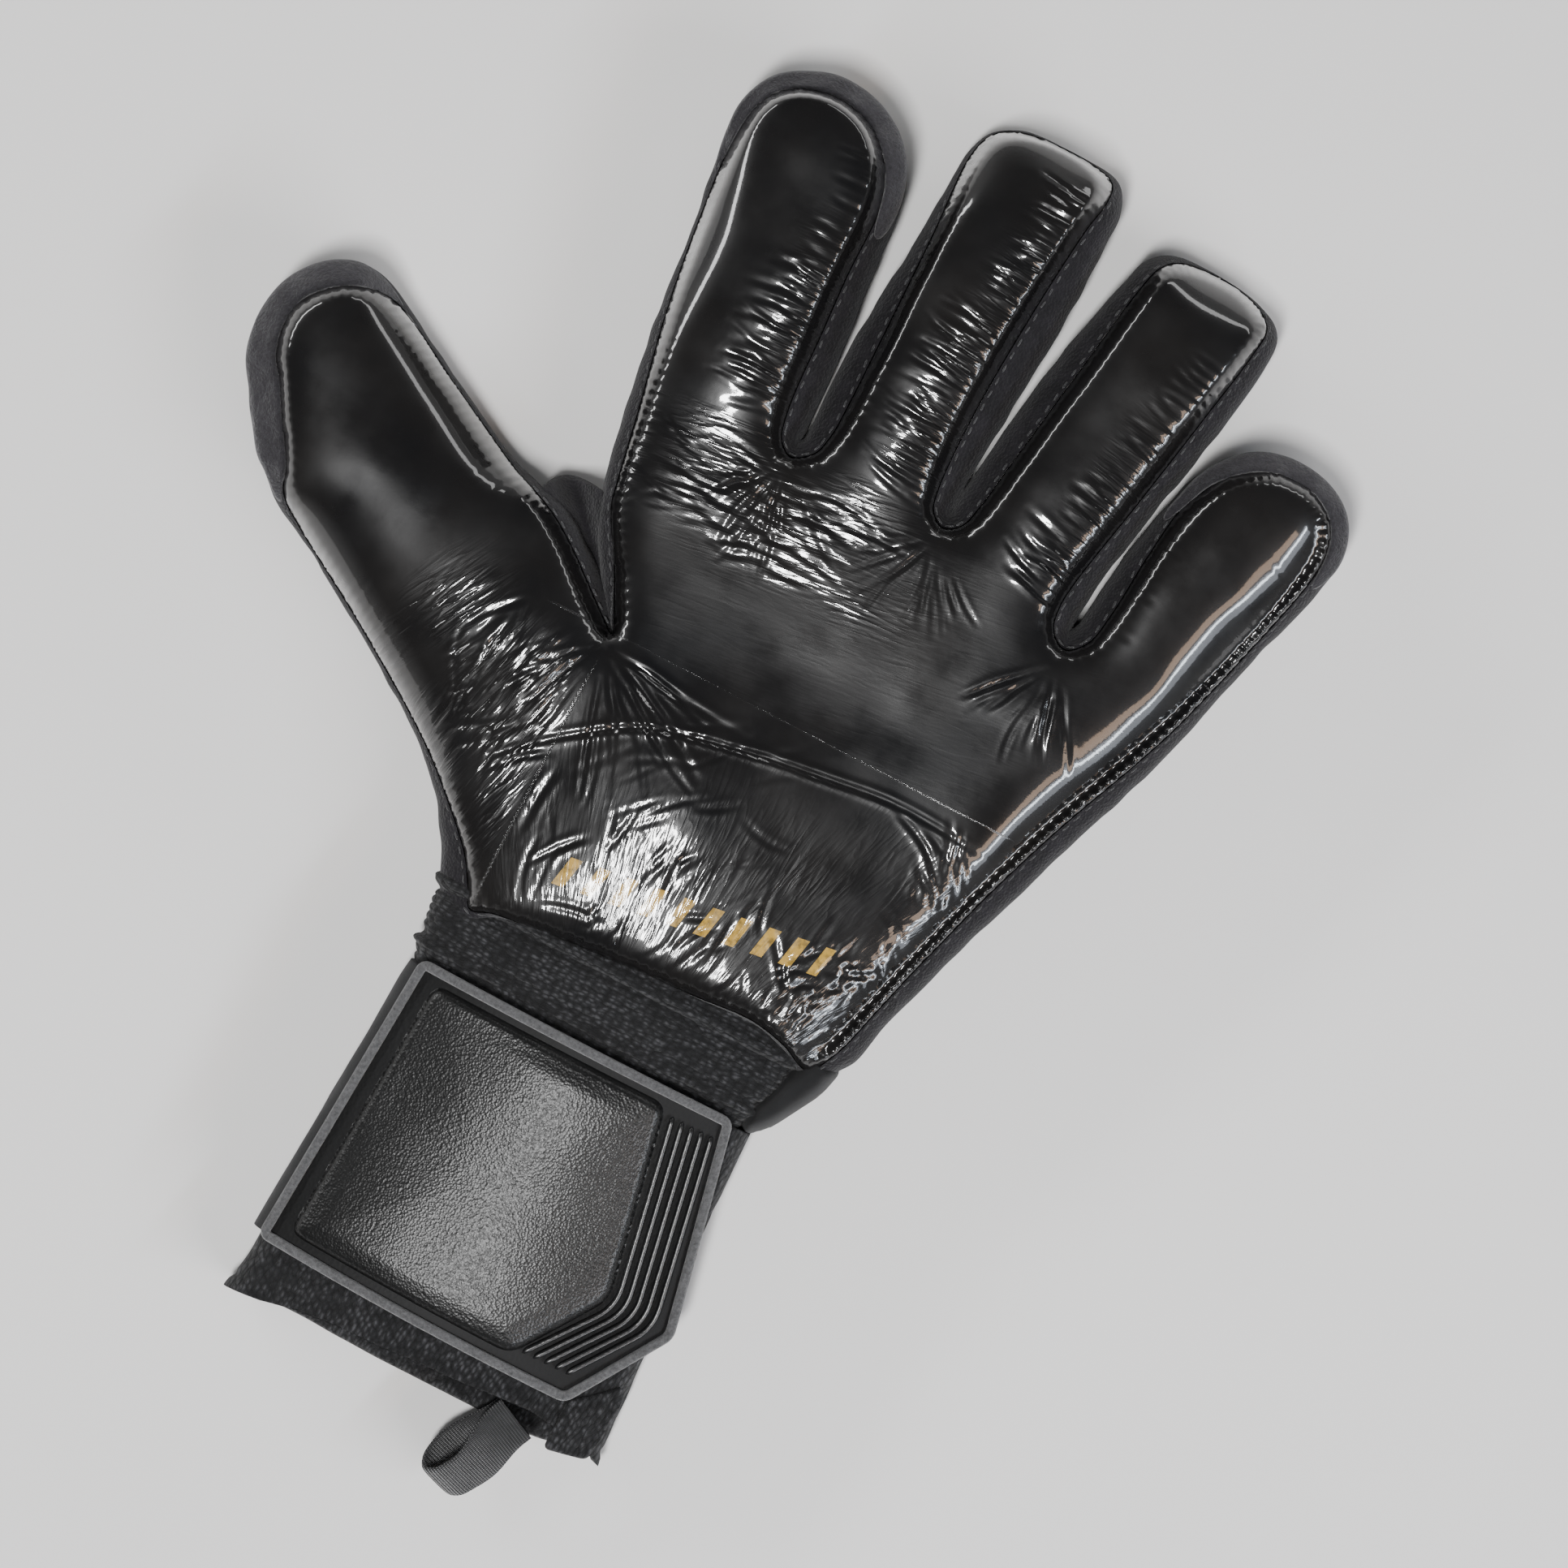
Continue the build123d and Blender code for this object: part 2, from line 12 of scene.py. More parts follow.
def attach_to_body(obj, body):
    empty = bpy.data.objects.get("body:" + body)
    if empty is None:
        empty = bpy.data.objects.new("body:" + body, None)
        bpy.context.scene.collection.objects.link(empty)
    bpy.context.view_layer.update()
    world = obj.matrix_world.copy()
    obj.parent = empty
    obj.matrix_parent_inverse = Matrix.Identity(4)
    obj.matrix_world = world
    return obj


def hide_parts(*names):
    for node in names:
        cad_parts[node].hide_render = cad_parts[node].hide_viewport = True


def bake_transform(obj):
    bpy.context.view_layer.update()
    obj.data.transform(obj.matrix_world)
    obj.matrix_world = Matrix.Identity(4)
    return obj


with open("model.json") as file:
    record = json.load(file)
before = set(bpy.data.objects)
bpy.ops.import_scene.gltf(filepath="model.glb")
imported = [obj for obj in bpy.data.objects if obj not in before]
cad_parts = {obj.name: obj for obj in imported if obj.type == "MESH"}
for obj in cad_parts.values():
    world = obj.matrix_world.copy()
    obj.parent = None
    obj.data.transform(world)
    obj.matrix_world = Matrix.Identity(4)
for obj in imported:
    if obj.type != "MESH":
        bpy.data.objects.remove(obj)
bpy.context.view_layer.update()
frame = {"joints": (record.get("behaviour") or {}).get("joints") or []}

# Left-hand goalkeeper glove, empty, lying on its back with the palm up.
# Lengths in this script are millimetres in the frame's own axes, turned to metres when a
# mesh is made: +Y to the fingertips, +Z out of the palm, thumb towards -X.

MM = 0.001
JOINTS = {joint["name"]: joint for joint in frame["joints"]}
DIGIT_NAMES = ["index", "middle", "ring", "little", "thumb"]

# ---- Heights ----

SEAM_HIGH = 21.0  # where the latex edge meets a full side wall
SEAM_LOW = 9.0  # where the latex rolls over an edge and the side wall is hidden
SEAM_HEEL = 23.5  # latex edge over the wrist band
SIDE_BOTTOM = 2.4
PUFF = 7.2  # how far the latex stands above its seam
PUFF_REACH = 5.0  # how far in from the seam it has risen
PUFF_POWER = 0.5

# ---- Mesh steps ----

SKIN_STEP = 0.62
BACK_STEP = 2.2
SEAM_STEP = 0.62
SIDE_ROWS = 12

random.seed(11)

# ---- Plain numeric helpers ----


def unit(vector):
    return np.asarray(vector, float) / np.linalg.norm(vector)


def smooth_step(t):
    t = np.clip(t, 0, 1)
    return t * t * (3 - 2 * t)


def bell(distance, width):
    return np.exp(-0.5 * (distance / width) ** 2)


def noise(points, cell, seed):
    """Smooth value noise from -1 to 1 on rows of 2-D points."""
    table = np.random.default_rng(seed).uniform(-1, 1, (64, 64))
    at = np.asarray(points, float) / cell
    low = np.floor(at).astype(int)
    part = smooth_step(at - low)
    total = 0
    for i in (0, 1):
        for j in (0, 1):
            weight = np.abs(1 - i - part[:, 0]) * np.abs(1 - j - part[:, 1])
            total = total + weight * table[(low[:, 0] + i) % 64, (low[:, 1] + j) % 64]
    return total


def smooth_curve(points, step, closed):
    """Even samples along the centripetal Catmull-Rom curve through rows of numbers (x, y, ...)."""
    rows = np.asarray(points, float)
    if closed:
        rows = np.vstack([rows[-1], rows, rows[0], rows[1]])
    else:
        rows = np.vstack([2 * rows[0] - rows[1], rows, 2 * rows[-1] - rows[-2]])
    dense = []
    for before, start, end, after in zip(rows, rows[1:], rows[2:], rows[3:]):
        pairs = ((before, start), (start, end), (end, after))
        knots = np.cumsum([0] + [max(np.hypot(*(b - a)[:2]), 1e-6) ** 0.5 for a, b in pairs])
        t = np.linspace(knots[1], knots[2], 24, endpoint=False)[:, None]
        t0, t1, t2, t3 = knots
        a = (t1 - t) / (t1 - t0) * before + (t - t0) / (t1 - t0) * start
        b = (t2 - t) / (t2 - t1) * start + (t - t1) / (t2 - t1) * end
        c = (t3 - t) / (t3 - t2) * end + (t - t2) / (t3 - t2) * after
        d = (t2 - t) / (t2 - t0) * a + (t - t0) / (t2 - t0) * b
        e = (t3 - t) / (t3 - t1) * b + (t - t1) / (t3 - t1) * c
        dense.append((t2 - t) / (t2 - t1) * d + (t - t1) / (t2 - t1) * e)
    dense = np.vstack([*dense, rows[-2:-1]])
    return even_samples(dense, step, closed)


def even_samples(line, step, closed):
    """Samples at even steps along a line; a closed line's end is left out, as it is its start."""
    run = np.r_[0, np.cumsum(np.hypot(*np.diff(line[:, :2], axis=0).T))]
    count = max(int(round(run[-1] / step)), 3)
    at = np.linspace(0, run[-1], count + 1)[: count if closed else count + 1]
    return np.stack([np.interp(at, run, column) for column in line.T], 1)


def right_normals(line, closed=True, reach=1):
    """Unit normals to the right of a line; they point out of a closed one walked anticlockwise."""
    ahead = np.roll(line, -reach, 0) - np.roll(line, reach, 0) if closed else np.gradient(line, axis=0)
    ahead = ahead / np.linalg.norm(ahead, axis=1)[:, None]
    return np.stack([ahead[:, 1], -ahead[:, 0]], 1)


def rolling_mean(values, reach):
    """Average over a window that wraps round a closed outline."""
    total = sum(np.roll(values, shift, 0) for shift in range(-reach, reach + 1))
    return total / (2 * reach + 1)


def inside_points(outline, step, margin):
    """Hexagonal grid of points inside a closed outline, at least margin away from it."""
    ends = np.roll(outline, -1, 0)
    rows = []
    for count, y in enumerate(np.arange(outline[:, 1].min(), outline[:, 1].max(), step * 0.866)):
        crossing = (outline[:, 1] > y) != (ends[:, 1] > y)
        a, b = outline[crossing], ends[crossing]
        cuts = np.sort(a[:, 0] + (y - a[:, 1]) / (b[:, 1] - a[:, 1]) * (b[:, 0] - a[:, 0]))
        for left, right in zip(cuts[::2], cuts[1::2]):
            first = math.ceil(left / step) * step + (0.5 * step if count % 2 else 0)
            xs = np.arange(first, right, step)
            rows.append(np.stack([xs, np.full(len(xs), y)], 1))
    points = np.vstack(rows)
    return points[nearest_on(outline, points)[1] > margin]


def nearest_on(line, points):
    """Which point of a line is nearest to each point, and how far away it is."""
    tree = KDTree(len(line))
    for count, (x, y) in enumerate(line):
        tree.insert((x, y, 0), count)
    tree.balance()
    found = [tree.find((x, y, 0)) for x, y in points]
    return np.array([index for _, index, _ in found]), np.array([away for _, _, away in found])


def fill_outline(outline, step):
    """Triangles over a closed outline. Its own points come first, in order."""
    points = np.vstack([outline, inside_points(outline, step, 0.55 * step)])
    border = [list(range(len(outline)))]
    found = delaunay_2d_cdt([Vector(p) for p in points], [], border, 1, 1e-6, True)
    corners = np.array([(v.x, v.y) for v in found[0]])
    order = [ids[0] if ids else len(points) for ids in found[3]]
    rank = np.argsort(order, kind="stable")
    place = np.empty(len(rank), int)
    place[rank] = np.arange(len(rank))
    corners = corners[rank]
    faces = place[np.array(found[2])]
    on_border = np.where((faces < len(outline)).all(1))[0]
    outside = on_border[~is_inside(corners[faces[on_border]].mean(1), outline)]
    return corners, np.delete(faces, outside, 0)


def is_inside(points, outline):
    """Whether each point lies inside a closed outline."""
    ends = np.roll(outline, -1, 0)
    inside = np.zeros(len(points), bool)
    for a, b in zip(outline, ends):
        if a[1] == b[1]:
            continue
        crossing = (a[1] > points[:, 1]) != (b[1] > points[:, 1])
        cut = a[0] + (points[:, 1] - a[1]) / (b[1] - a[1]) * (b[0] - a[0])
        inside ^= crossing & (points[:, 0] < cut)
    return inside


def mesh_edges(faces):
    pairs = np.sort(np.vstack([faces[:, [0, 1]], faces[:, [1, 2]], faces[:, [2, 0]]]), axis=1)
    return np.unique(pairs, axis=0)


def relax(faces, step, reach, fixed_count, fixed, target):
    """Smooth field over a triangle mesh: fixed on its first points, drifting to target over reach."""
    edges = mesh_edges(faces)
    total = int(faces.max()) + 1
    near, far = edges.T
    degree = np.bincount(near, minlength=total) + np.bincount(far, minlength=total)
    stiffness = 2 * reach**2 / (3 * step**2)
    free = np.arange(total) >= fixed_count

    def apply(u):
        spread = np.bincount(near, u[far], total) + np.bincount(far, u[near], total)
        return (u + stiffness * (degree * u - spread)) * free

    held = np.zeros(total)
    held[:fixed_count] = fixed
    spread = np.bincount(near, held[far], total) + np.bincount(far, held[near], total)
    rest = (target + stiffness * spread) * free
    u = np.zeros(total)
    residual = rest.copy()
    direction = residual.copy()
    power = residual @ residual
    for _ in range(400):
        pushed = apply(direction)
        pace = power / (direction @ pushed)
        u += pace * direction
        residual -= pace * pushed
        fresh = residual @ residual
        if fresh < 1e-8 * len(u):
            break
        direction = residual + fresh / power * direction
        power = fresh
    return u + held


def vertex_normals(points, faces):
    """Area-weighted normals of a triangle or quad mesh."""
    corner = points[faces]
    flat = np.cross(corner[:, 2] - corner[:, 0], corner[:, -1] - corner[:, 1])
    if faces.shape[1] == 3:
        flat = np.cross(corner[:, 1] - corner[:, 0], corner[:, 2] - corner[:, 0])
    normals = np.zeros_like(points)
    for column in faces.T:
        for axis in range(3):
            normals[:, axis] += np.bincount(column, flat[:, axis], len(points))
    return normals / np.maximum(np.linalg.norm(normals, axis=1), 1e-12)[:, None]


# ---- Making Blender objects ----


def new_piece(name, points, faces, material, normals=None, layers=None):
    """Mesh object from points in millimetres; layers are named values per point."""
    mesh = bpy.data.meshes.new(name)
    mesh.from_pydata((np.asarray(points) * MM).tolist(), [], np.asarray(faces).tolist())
    mesh.polygons.foreach_set("use_smooth", [True] * len(mesh.polygons))
    for label, values in (layers or {}).items():
        kind = "FLOAT" if values.ndim == 1 else "FLOAT_VECTOR"
        layer = mesh.attributes.new(label, kind, "POINT")
        field = "value" if values.ndim == 1 else "vector"
        layer.data.foreach_set(field, values.astype(np.float32).ravel())
    mesh.update()
    if normals is not None:
        mesh.normals_split_custom_set_from_vertices(normals.tolist())
    mesh.materials.append(material)
    piece = bpy.data.objects.new(name, mesh)
    bpy.context.scene.collection.objects.link(piece)
    return piece


def smooth_piece(name, mesh, material):
    """Piece shaded with its mesh's own area-weighted normals."""
    points, faces = mesh
    return new_piece(name, points, faces, material, vertex_normals(points, faces))


def part_piece(name, points, faces, keep, material, normals, layers=None):
    """Piece from some of a mesh's faces, shaded with the whole mesh's normals."""
    chosen = faces[keep]
    used, compact = np.unique(chosen, return_inverse=True)
    chosen = compact.reshape(chosen.shape)
    layers = {label: values[used] for label, values in (layers or {}).items()}
    return new_piece(name, points[used], chosen, material, normals[used], layers)


def grid_faces(rows, columns, wrap_rows=False, wrap_columns=False):
    """Quads of a grid of points that is stored row after row."""
    r = np.arange(rows if wrap_rows else rows - 1)
    c = np.arange(columns if wrap_columns else columns - 1)
    r, c = (grid.ravel() for grid in np.meshgrid(r, c, indexing="ij"))
    r2, c2 = (r + 1) % rows, (c + 1) % columns
    return np.stack([r * columns + c, r2 * columns + c, r2 * columns + c2, r * columns + c2], 1)


def sweep(path, profile, scale):
    """Points and quads of a tube: profile (sideways, up) carried along path and scaled on the way."""
    path = np.asarray(path, float)
    ahead = np.gradient(path, axis=0)
    ahead /= np.linalg.norm(ahead, axis=1)[:, None]
    side = np.cross(ahead, (0.0, 0.0, 1.0))
    side /= np.linalg.norm(side, axis=1)[:, None]
    rise = np.cross(side, ahead)
    ring = side[:, None] * profile[None, :, :1] + rise[:, None] * profile[None, :, 1:]
    rings = path[:, None] + scale[:, None, None] * ring
    points = rings.reshape(-1, 3)
    faces = grid_faces(len(path), len(profile), wrap_columns=True)
    return points, faces


def oval(half_width, half_height, count, power=2.0):
    """Points round an oval; a power above 2 squares it off."""
    turn = np.linspace(0, 2 * math.pi, count, endpoint=False)
    x, y = np.cos(turn), np.sin(turn)
    return np.stack([
        half_width * np.sign(x) * np.abs(x) ** (2 / power),
        half_height * np.sign(y) * np.abs(y) ** (2 / power),
    ], 1)


def end_taper(count, length):
    """Scale along a sweep that rounds off both of its ends over some samples."""
    near = np.minimum(np.arange(count), np.arange(count)[::-1]) / length
    return np.sqrt(np.clip(1 - (1 - np.clip(near, 0, 1)) ** 2, 1e-4, 1))


def joined(parts):
    """One set of points and faces from several."""
    points, faces, base = [], [], 0
    for some_points, some_faces in parts:
        points.append(some_points)
        faces.append(some_faces + base)
        base += len(some_points)
    return np.vstack(points), np.vstack(faces)


# ---- Materials ----


class Nodes:
    """Short way to build one material's node tree."""

    def __init__(self, name, color, roughness):
        self.material = bpy.data.materials.new(name)
        self.material.use_nodes = True
        self.tree = self.material.node_tree
        self.shader = self.tree.nodes["Principled BSDF"]
        self.shader.inputs["Base Color"].default_value = (*color, 1)
        self.shader.inputs["Roughness"].default_value = roughness
        self.height = None

    def add(self, kind, **values):
        node = self.tree.nodes.new("ShaderNode" + kind)
        for key, value in values.items():
            setattr(node, key, value)
        return node

    def link(self, source, target):
        self.tree.links.new(source, target)

    def place(self, scale=(1, 1, 1), turn=0.0, attribute=None):
        """Object coordinates, or a named vector on the mesh, scaled and turned about Z."""
        if attribute:
            source = self.add("Attribute", attribute_name=attribute).outputs["Vector"]
        else:
            source = self.add("TexCoord").outputs["Object"]
        mapping = self.add("Mapping")
        mapping.inputs["Scale"].default_value = scale
        mapping.inputs["Rotation"].default_value = (0, 0, turn)
        self.link(source, mapping.inputs["Vector"])
        return mapping.outputs["Vector"]

    def texture(self, kind, at, output, inputs, **values):
        node = self.add(kind, **values)
        for name, value in inputs.items():
            node.inputs[name].default_value = value
        self.link(at, node.inputs["Vector"])
        return node.outputs[output]

    def noise(self, at, scale, detail=2.0, roughness=0.5, distortion=0.0):
        inputs = {"Scale": scale, "Detail": detail, "Roughness": roughness, "Distortion": distortion}
        return self.texture("TexNoise", at, "Fac", inputs)

    def cells(self, at, scale, randomness=1.0):
        inputs = {"Scale": scale, "Randomness": randomness}
        return self.texture("TexVoronoi", at, "Distance", inputs, feature="F1")

    def wave(self, at, scale, direction, distortion=0.0):
        inputs = {"Scale": scale, "Distortion": distortion}
        return self.texture("TexWave", at, "Fac", inputs, wave_type="BANDS", bands_direction=direction)

    def math(self, operation, a, b=None):
        node = self.add("Math", operation=operation)
        for socket, value in zip(node.inputs, (a, b)):
            if value is None:
                continue
            if isinstance(value, (int, float)):
                socket.default_value = value
            else:
                self.link(value, socket)
        return node.outputs["Value"]

    def ramp(self, value, *stops):
        """Colour ramp with (position, colour) stops."""
        node = self.add("ValToRGB")
        band = node.color_ramp.elements
        for count, (position, color) in enumerate(stops):
            stop = band[count] if count < 2 else band.new(position)
            stop.position = position
            stop.color = (*color, 1)
        self.link(value, node.inputs["Fac"])
        return node.outputs["Color"]

    def paint(self, value, *stops):
        """Base colour from a ramp over a value."""
        self.link(self.ramp(value, *stops), self.shader.inputs["Base Color"])

    def mix(self, factor, under, over):
        """One colour laid over a colour socket, by a mask."""
        node = self.add("Mix", data_type="RGBA")
        sockets = {socket.name: socket for socket in node.inputs if socket.enabled}
        self.link(factor, sockets["Factor"])
        self.link(under, sockets["A"])
        sockets["B"].default_value = (*over, 1)
        return next(socket for socket in node.outputs if socket.enabled)

    def bump(self, height, depth):
        """Stacks a bump layer; depth is the height of a full swing, in metres."""
        node = self.add("Bump")
        node.inputs["Strength"].default_value = 1.0
        node.inputs["Distance"].default_value = depth
        self.link(height, node.inputs["Height"])
        if self.height is not None:
            self.link(self.height, node.inputs["Normal"])
        self.height = node.outputs["Normal"]

    def done(self, coat=False):
        if self.height is not None:
            self.link(self.height, self.shader.inputs["Normal"])
            if coat:
                self.link(self.height, self.shader.inputs["Coat Normal"])
        return self.material

    def set(self, **values):
        """Shader inputs by their names in lower case, as coat_weight for Coat Weight."""
        for key, value in values.items():
            label = key.replace("_", " ").title().replace("Ior", "IOR")
            self.shader.inputs[label].default_value = value


FILM_FOLDS = ((380, 0.00020, 0.16), (760, 0.00010, 0.14))  # scale, depth in metres, squeeze along a fold
FOLD_SHARPNESS = 2.5


def film_material(name, printed):
    """Black foam latex under a clear, tight, crinkled film; the palm also has a gold print."""
    m = Nodes(name, (0.006, 0.006, 0.007), 0.32)
    at = m.place()
    cloud = m.noise(at, 35, 3)
    color = m.ramp(cloud, (0.3, (0.0045, 0.0045, 0.005)), (0.75, (0.010, 0.009, 0.0085)))
    if printed:
        color = m.mix(printed_bars(m), color, (0.40, 0.245, 0.045))
    m.link(color, m.shader.inputs["Base Color"])
    m.set(coat_weight=1.0, coat_roughness=0.06, coat_ior=1.5, specular_ior_level=0.18)
    rough = m.ramp(m.noise(at, 90, 4), (0.35, (0.24, 0.24, 0.24)), (0.7, (0.42, 0.42, 0.42)))
    m.link(rough, m.shader.inputs["Roughness"])
    amount = m.add("Attribute", attribute_name="crinkle").outputs["Fac"]
    for scale, depth, squeeze in FILM_FOLDS:
        grain = m.place(attribute="grain", scale=(squeeze, 1, 1))
        fold = m.math("SUBTRACT", m.math("MULTIPLY", m.noise(grain, scale, 2, 0.5, 0.5), 2.0), 1.0)
        sharp = m.math("SUBTRACT", 1.0, m.math("ABSOLUTE", fold))
        m.bump(m.math("MULTIPLY", m.math("POWER", sharp, FOLD_SHARPNESS), amount), depth)
    m.bump(m.noise(at, 900, 2), 0.000006)
    return m.done(coat=True)


PRINT_START = (-22.0, -37.5)  # lower left of the printed row, on the palm's heel
PRINT_TURN = math.radians(8)
PRINT_LENGTH = 58.0
PRINT_HEIGHT = 6.4
PRINT_PITCH = 6.2
PRINT_LEAN = 0.35
PRINT_BAR_SHARE = 0.42  # of the pitch that a bar fills


def printed_bars(m):
    """Mask of a plain row of slanted bars across the heel of the palm."""
    split = m.add("SeparateXYZ")
    shift = m.add("VectorMath", operation="SUBTRACT")
    shift.inputs[1].default_value = (PRINT_START[0] * MM, PRINT_START[1] * MM, 0)
    m.link(m.add("TexCoord").outputs["Object"], shift.inputs[0])
    turn = m.add("VectorRotate", rotation_type="Z_AXIS")
    turn.inputs["Angle"].default_value = -PRINT_TURN
    m.link(shift.outputs["Vector"], turn.inputs["Vector"])
    m.link(turn.outputs["Vector"], split.inputs["Vector"])
    along, up = split.outputs["X"], split.outputs["Y"]
    leaning = m.math("SUBTRACT", along, m.math("MULTIPLY", up, PRINT_LEAN))
    beat = m.math("FRACT", m.math("DIVIDE", leaning, PRINT_PITCH * MM))
    masks = [
        m.math("LESS_THAN", beat, PRINT_BAR_SHARE),
        m.math("GREATER_THAN", up, 0.0),
        m.math("LESS_THAN", up, PRINT_HEIGHT * MM),
        m.math("GREATER_THAN", leaning, 0.0),
        m.math("LESS_THAN", leaning, PRINT_LENGTH * MM),
    ]
    total = masks[0]
    for mask in masks[1:]:
        total = m.math("MULTIPLY", total, mask)
    worn = m.ramp(m.noise(m.place(), 700, 3), (0.30, (0.35, 0.35, 0.35)), (0.55, (1, 1, 1)))
    return m.math("MULTIPLY", total, worn)


def suede_material():
    """Matte brushed side fabric with a fine mesh under its nap."""
    m = Nodes("side_fabric", (0.02, 0.018, 0.024), 0.95)
    at = m.place()
    nap = m.noise(at, 260, 4, 0.7)
    m.paint(nap, (0.3, (0.003, 0.0026, 0.0034)), (0.75, (0.012, 0.0105, 0.0135)))
    m.set(sheen_weight=0.10, sheen_roughness=0.6, specular_ior_level=0.2)
    m.bump(m.cells(at, 1500), 0.00018)
    m.bump(m.noise(at, 3200, 2, 0.6), 0.00012)
    m.bump(m.noise(at, 220, 2), 0.0004)
    return m.done()


def smooth_fabric_material():
    """Tightly woven smooth fabric over foam, for the backs, the heel strip and the gore."""
    m = Nodes("back_fabric", (0.012, 0.012, 0.014), 0.72)
    at = m.place()
    tint = m.noise(at, 180, 4, 0.6)
    m.paint(tint, (0.3, (0.004, 0.004, 0.0045)), (0.75, (0.011, 0.011, 0.012)))
    m.set(sheen_weight=0.06, sheen_roughness=0.5, specular_ior_level=0.35)
    m.bump(m.wave(at, 1900, "X"), 0.00006)
    m.bump(m.wave(at, 1900, "Y"), 0.00006)
    m.bump(m.noise(at, 90, 3), 0.0005)
    return m.done()


LOOPS_PER_METRE = 900
LOOP_DISORDER = 0.55
LOOP_WANDER = 0.0011  # metres
LOOP_HEIGHT = 0.0007  # metres


def looped_material(name, stretch, turn):
    """Coarse looped knit: painted shade, dark, in the hollows between the loops and painted light, grey, on
    their crowns.
    """
    m = Nodes(name, (0.016, 0.016, 0.018), 0.88)
    at = m.place(scale=stretch, turn=turn)
    wander = m.add("VectorMath", operation="ADD")
    jitter = m.add("TexNoise")
    jitter.inputs["Scale"].default_value = 260
    scaled = m.add("VectorMath", operation="SCALE")
    scaled.inputs["Scale"].default_value = LOOP_WANDER
    m.link(at, jitter.inputs["Vector"])
    m.link(jitter.outputs["Color"], scaled.inputs["Vector"])
    m.link(at, wander.inputs[0])
    m.link(scaled.outputs["Vector"], wander.inputs[1])
    away = m.cells(wander.outputs["Vector"], LOOPS_PER_METRE, LOOP_DISORDER)
    loops = m.math("SUBTRACT", 1.0, away)
    painted_loop_shade = m.math("MULTIPLY", loops, m.noise(at, 600, 4, 0.8))
    # Painted shade and light: the base colour follows the loop relief, darkest between the loops and
    # lighter on their crowns, varied at random by a noise.
    m.paint(
        painted_loop_shade,
        (0.16, (0.0012, 0.0012, 0.0015)),
        (0.32, (0.010, 0.010, 0.011)),
        (0.50, (0.050, 0.050, 0.054)),
    )
    m.set(sheen_weight=0.06, sheen_roughness=0.5, specular_ior_level=0.35)
    m.bump(loops, LOOP_HEIGHT)
    m.bump(m.noise(at, 2400, 3, 0.7), 0.0003)
    return m.done()


def rubber_material(name, color, roughness, gloss, grain_depth, grain_scale=1300):
    """Matte moulded rubber with a pebble grain."""
    m = Nodes(name, color, roughness)
    at = m.place()
    low, high = (tuple(c * k for c in color) for k in (0.75, 1.3))
    m.paint(m.noise(at, 60, 3), (0.35, low), (0.7, high))
    m.set(specular_ior_level=gloss)
    m.bump(m.cells(at, grain_scale), grain_depth)
    m.bump(m.noise(at, 0.6 * grain_scale, 2, 0.4), grain_depth)
    return m.done()


def felt_material(name, color):
    """Grey felted tape and webbing."""
    m = Nodes(name, color, 0.95)
    at = m.place()
    low, high = (tuple(c * k for c in color) for k in (0.45, 1.5))
    m.paint(m.noise(at, 1300, 4, 0.75), (0.3, low), (0.72, high))
    m.set(sheen_weight=0.35, sheen_roughness=0.5, specular_ior_level=0.25)
    m.bump(m.noise(at, 1700, 4, 0.75), 0.0004)
    m.bump(m.noise(at, 350, 2), 0.0003)
    return m.done()


def ribbon_material():
    """Woven ribbon with cross ribs."""
    m = Nodes("ribbon", (0.014, 0.014, 0.015), 0.8)
    at = m.place(turn=math.radians(25))
    tint = m.noise(at, 400, 4, 0.7)
    m.paint(tint, (0.3, (0.007, 0.007, 0.008)), (0.75, (0.024, 0.024, 0.026)))
    m.set(sheen_weight=0.2, specular_ior_level=0.3)
    m.bump(m.wave(at, 520, "Y", 0.4), 0.0003)
    m.bump(m.wave(at, 900, "X", 0.4), 0.00015)
    return m.done()


def floor_material():
    m = Nodes("floor", (0.72, 0.71, 0.70), 0.85)
    m.bump(m.noise(m.place(), 40, 3), 0.0002)
    return m.done()


FILM = film_material("latex_film", printed=False)
FILM_PRINTED = film_material("latex_film_printed", printed=True)
SUEDE = suede_material()
SMOOTH = smooth_fabric_material()
KNIT = looped_material("wrist_knit", (0.62, 1.25, 0.4), 0.0)
TWILL = looped_material("cuff_knit", (1.2, 0.6, 0.4), math.radians(24))
PAD_RUBBER = rubber_material("strap_pad_rubber", (0.0045, 0.0045, 0.0045), 0.36, 0.42, 0.00007, 1900)
BASE_RUBBER = rubber_material("strap_rubber", (0.004, 0.004, 0.0042), 0.6, 0.2, 0.00004)
RIB_RUBBER = rubber_material("strap_rib_rubber", (0.006, 0.006, 0.0062), 0.33, 0.6, 0.00003)
TAPE = felt_material("strap_edge_felt", (0.075, 0.075, 0.077))
THREAD = felt_material("thread", (0.03, 0.03, 0.032))
HOOK = felt_material("hook_and_loop", (0.012, 0.012, 0.013))
BINDING = felt_material("tip_binding", (0.02, 0.0185, 0.022))
RIBBON = ribbon_material()

# ---- Latex outline, walked anticlockwise: x, y, width of the side wall beside it ----

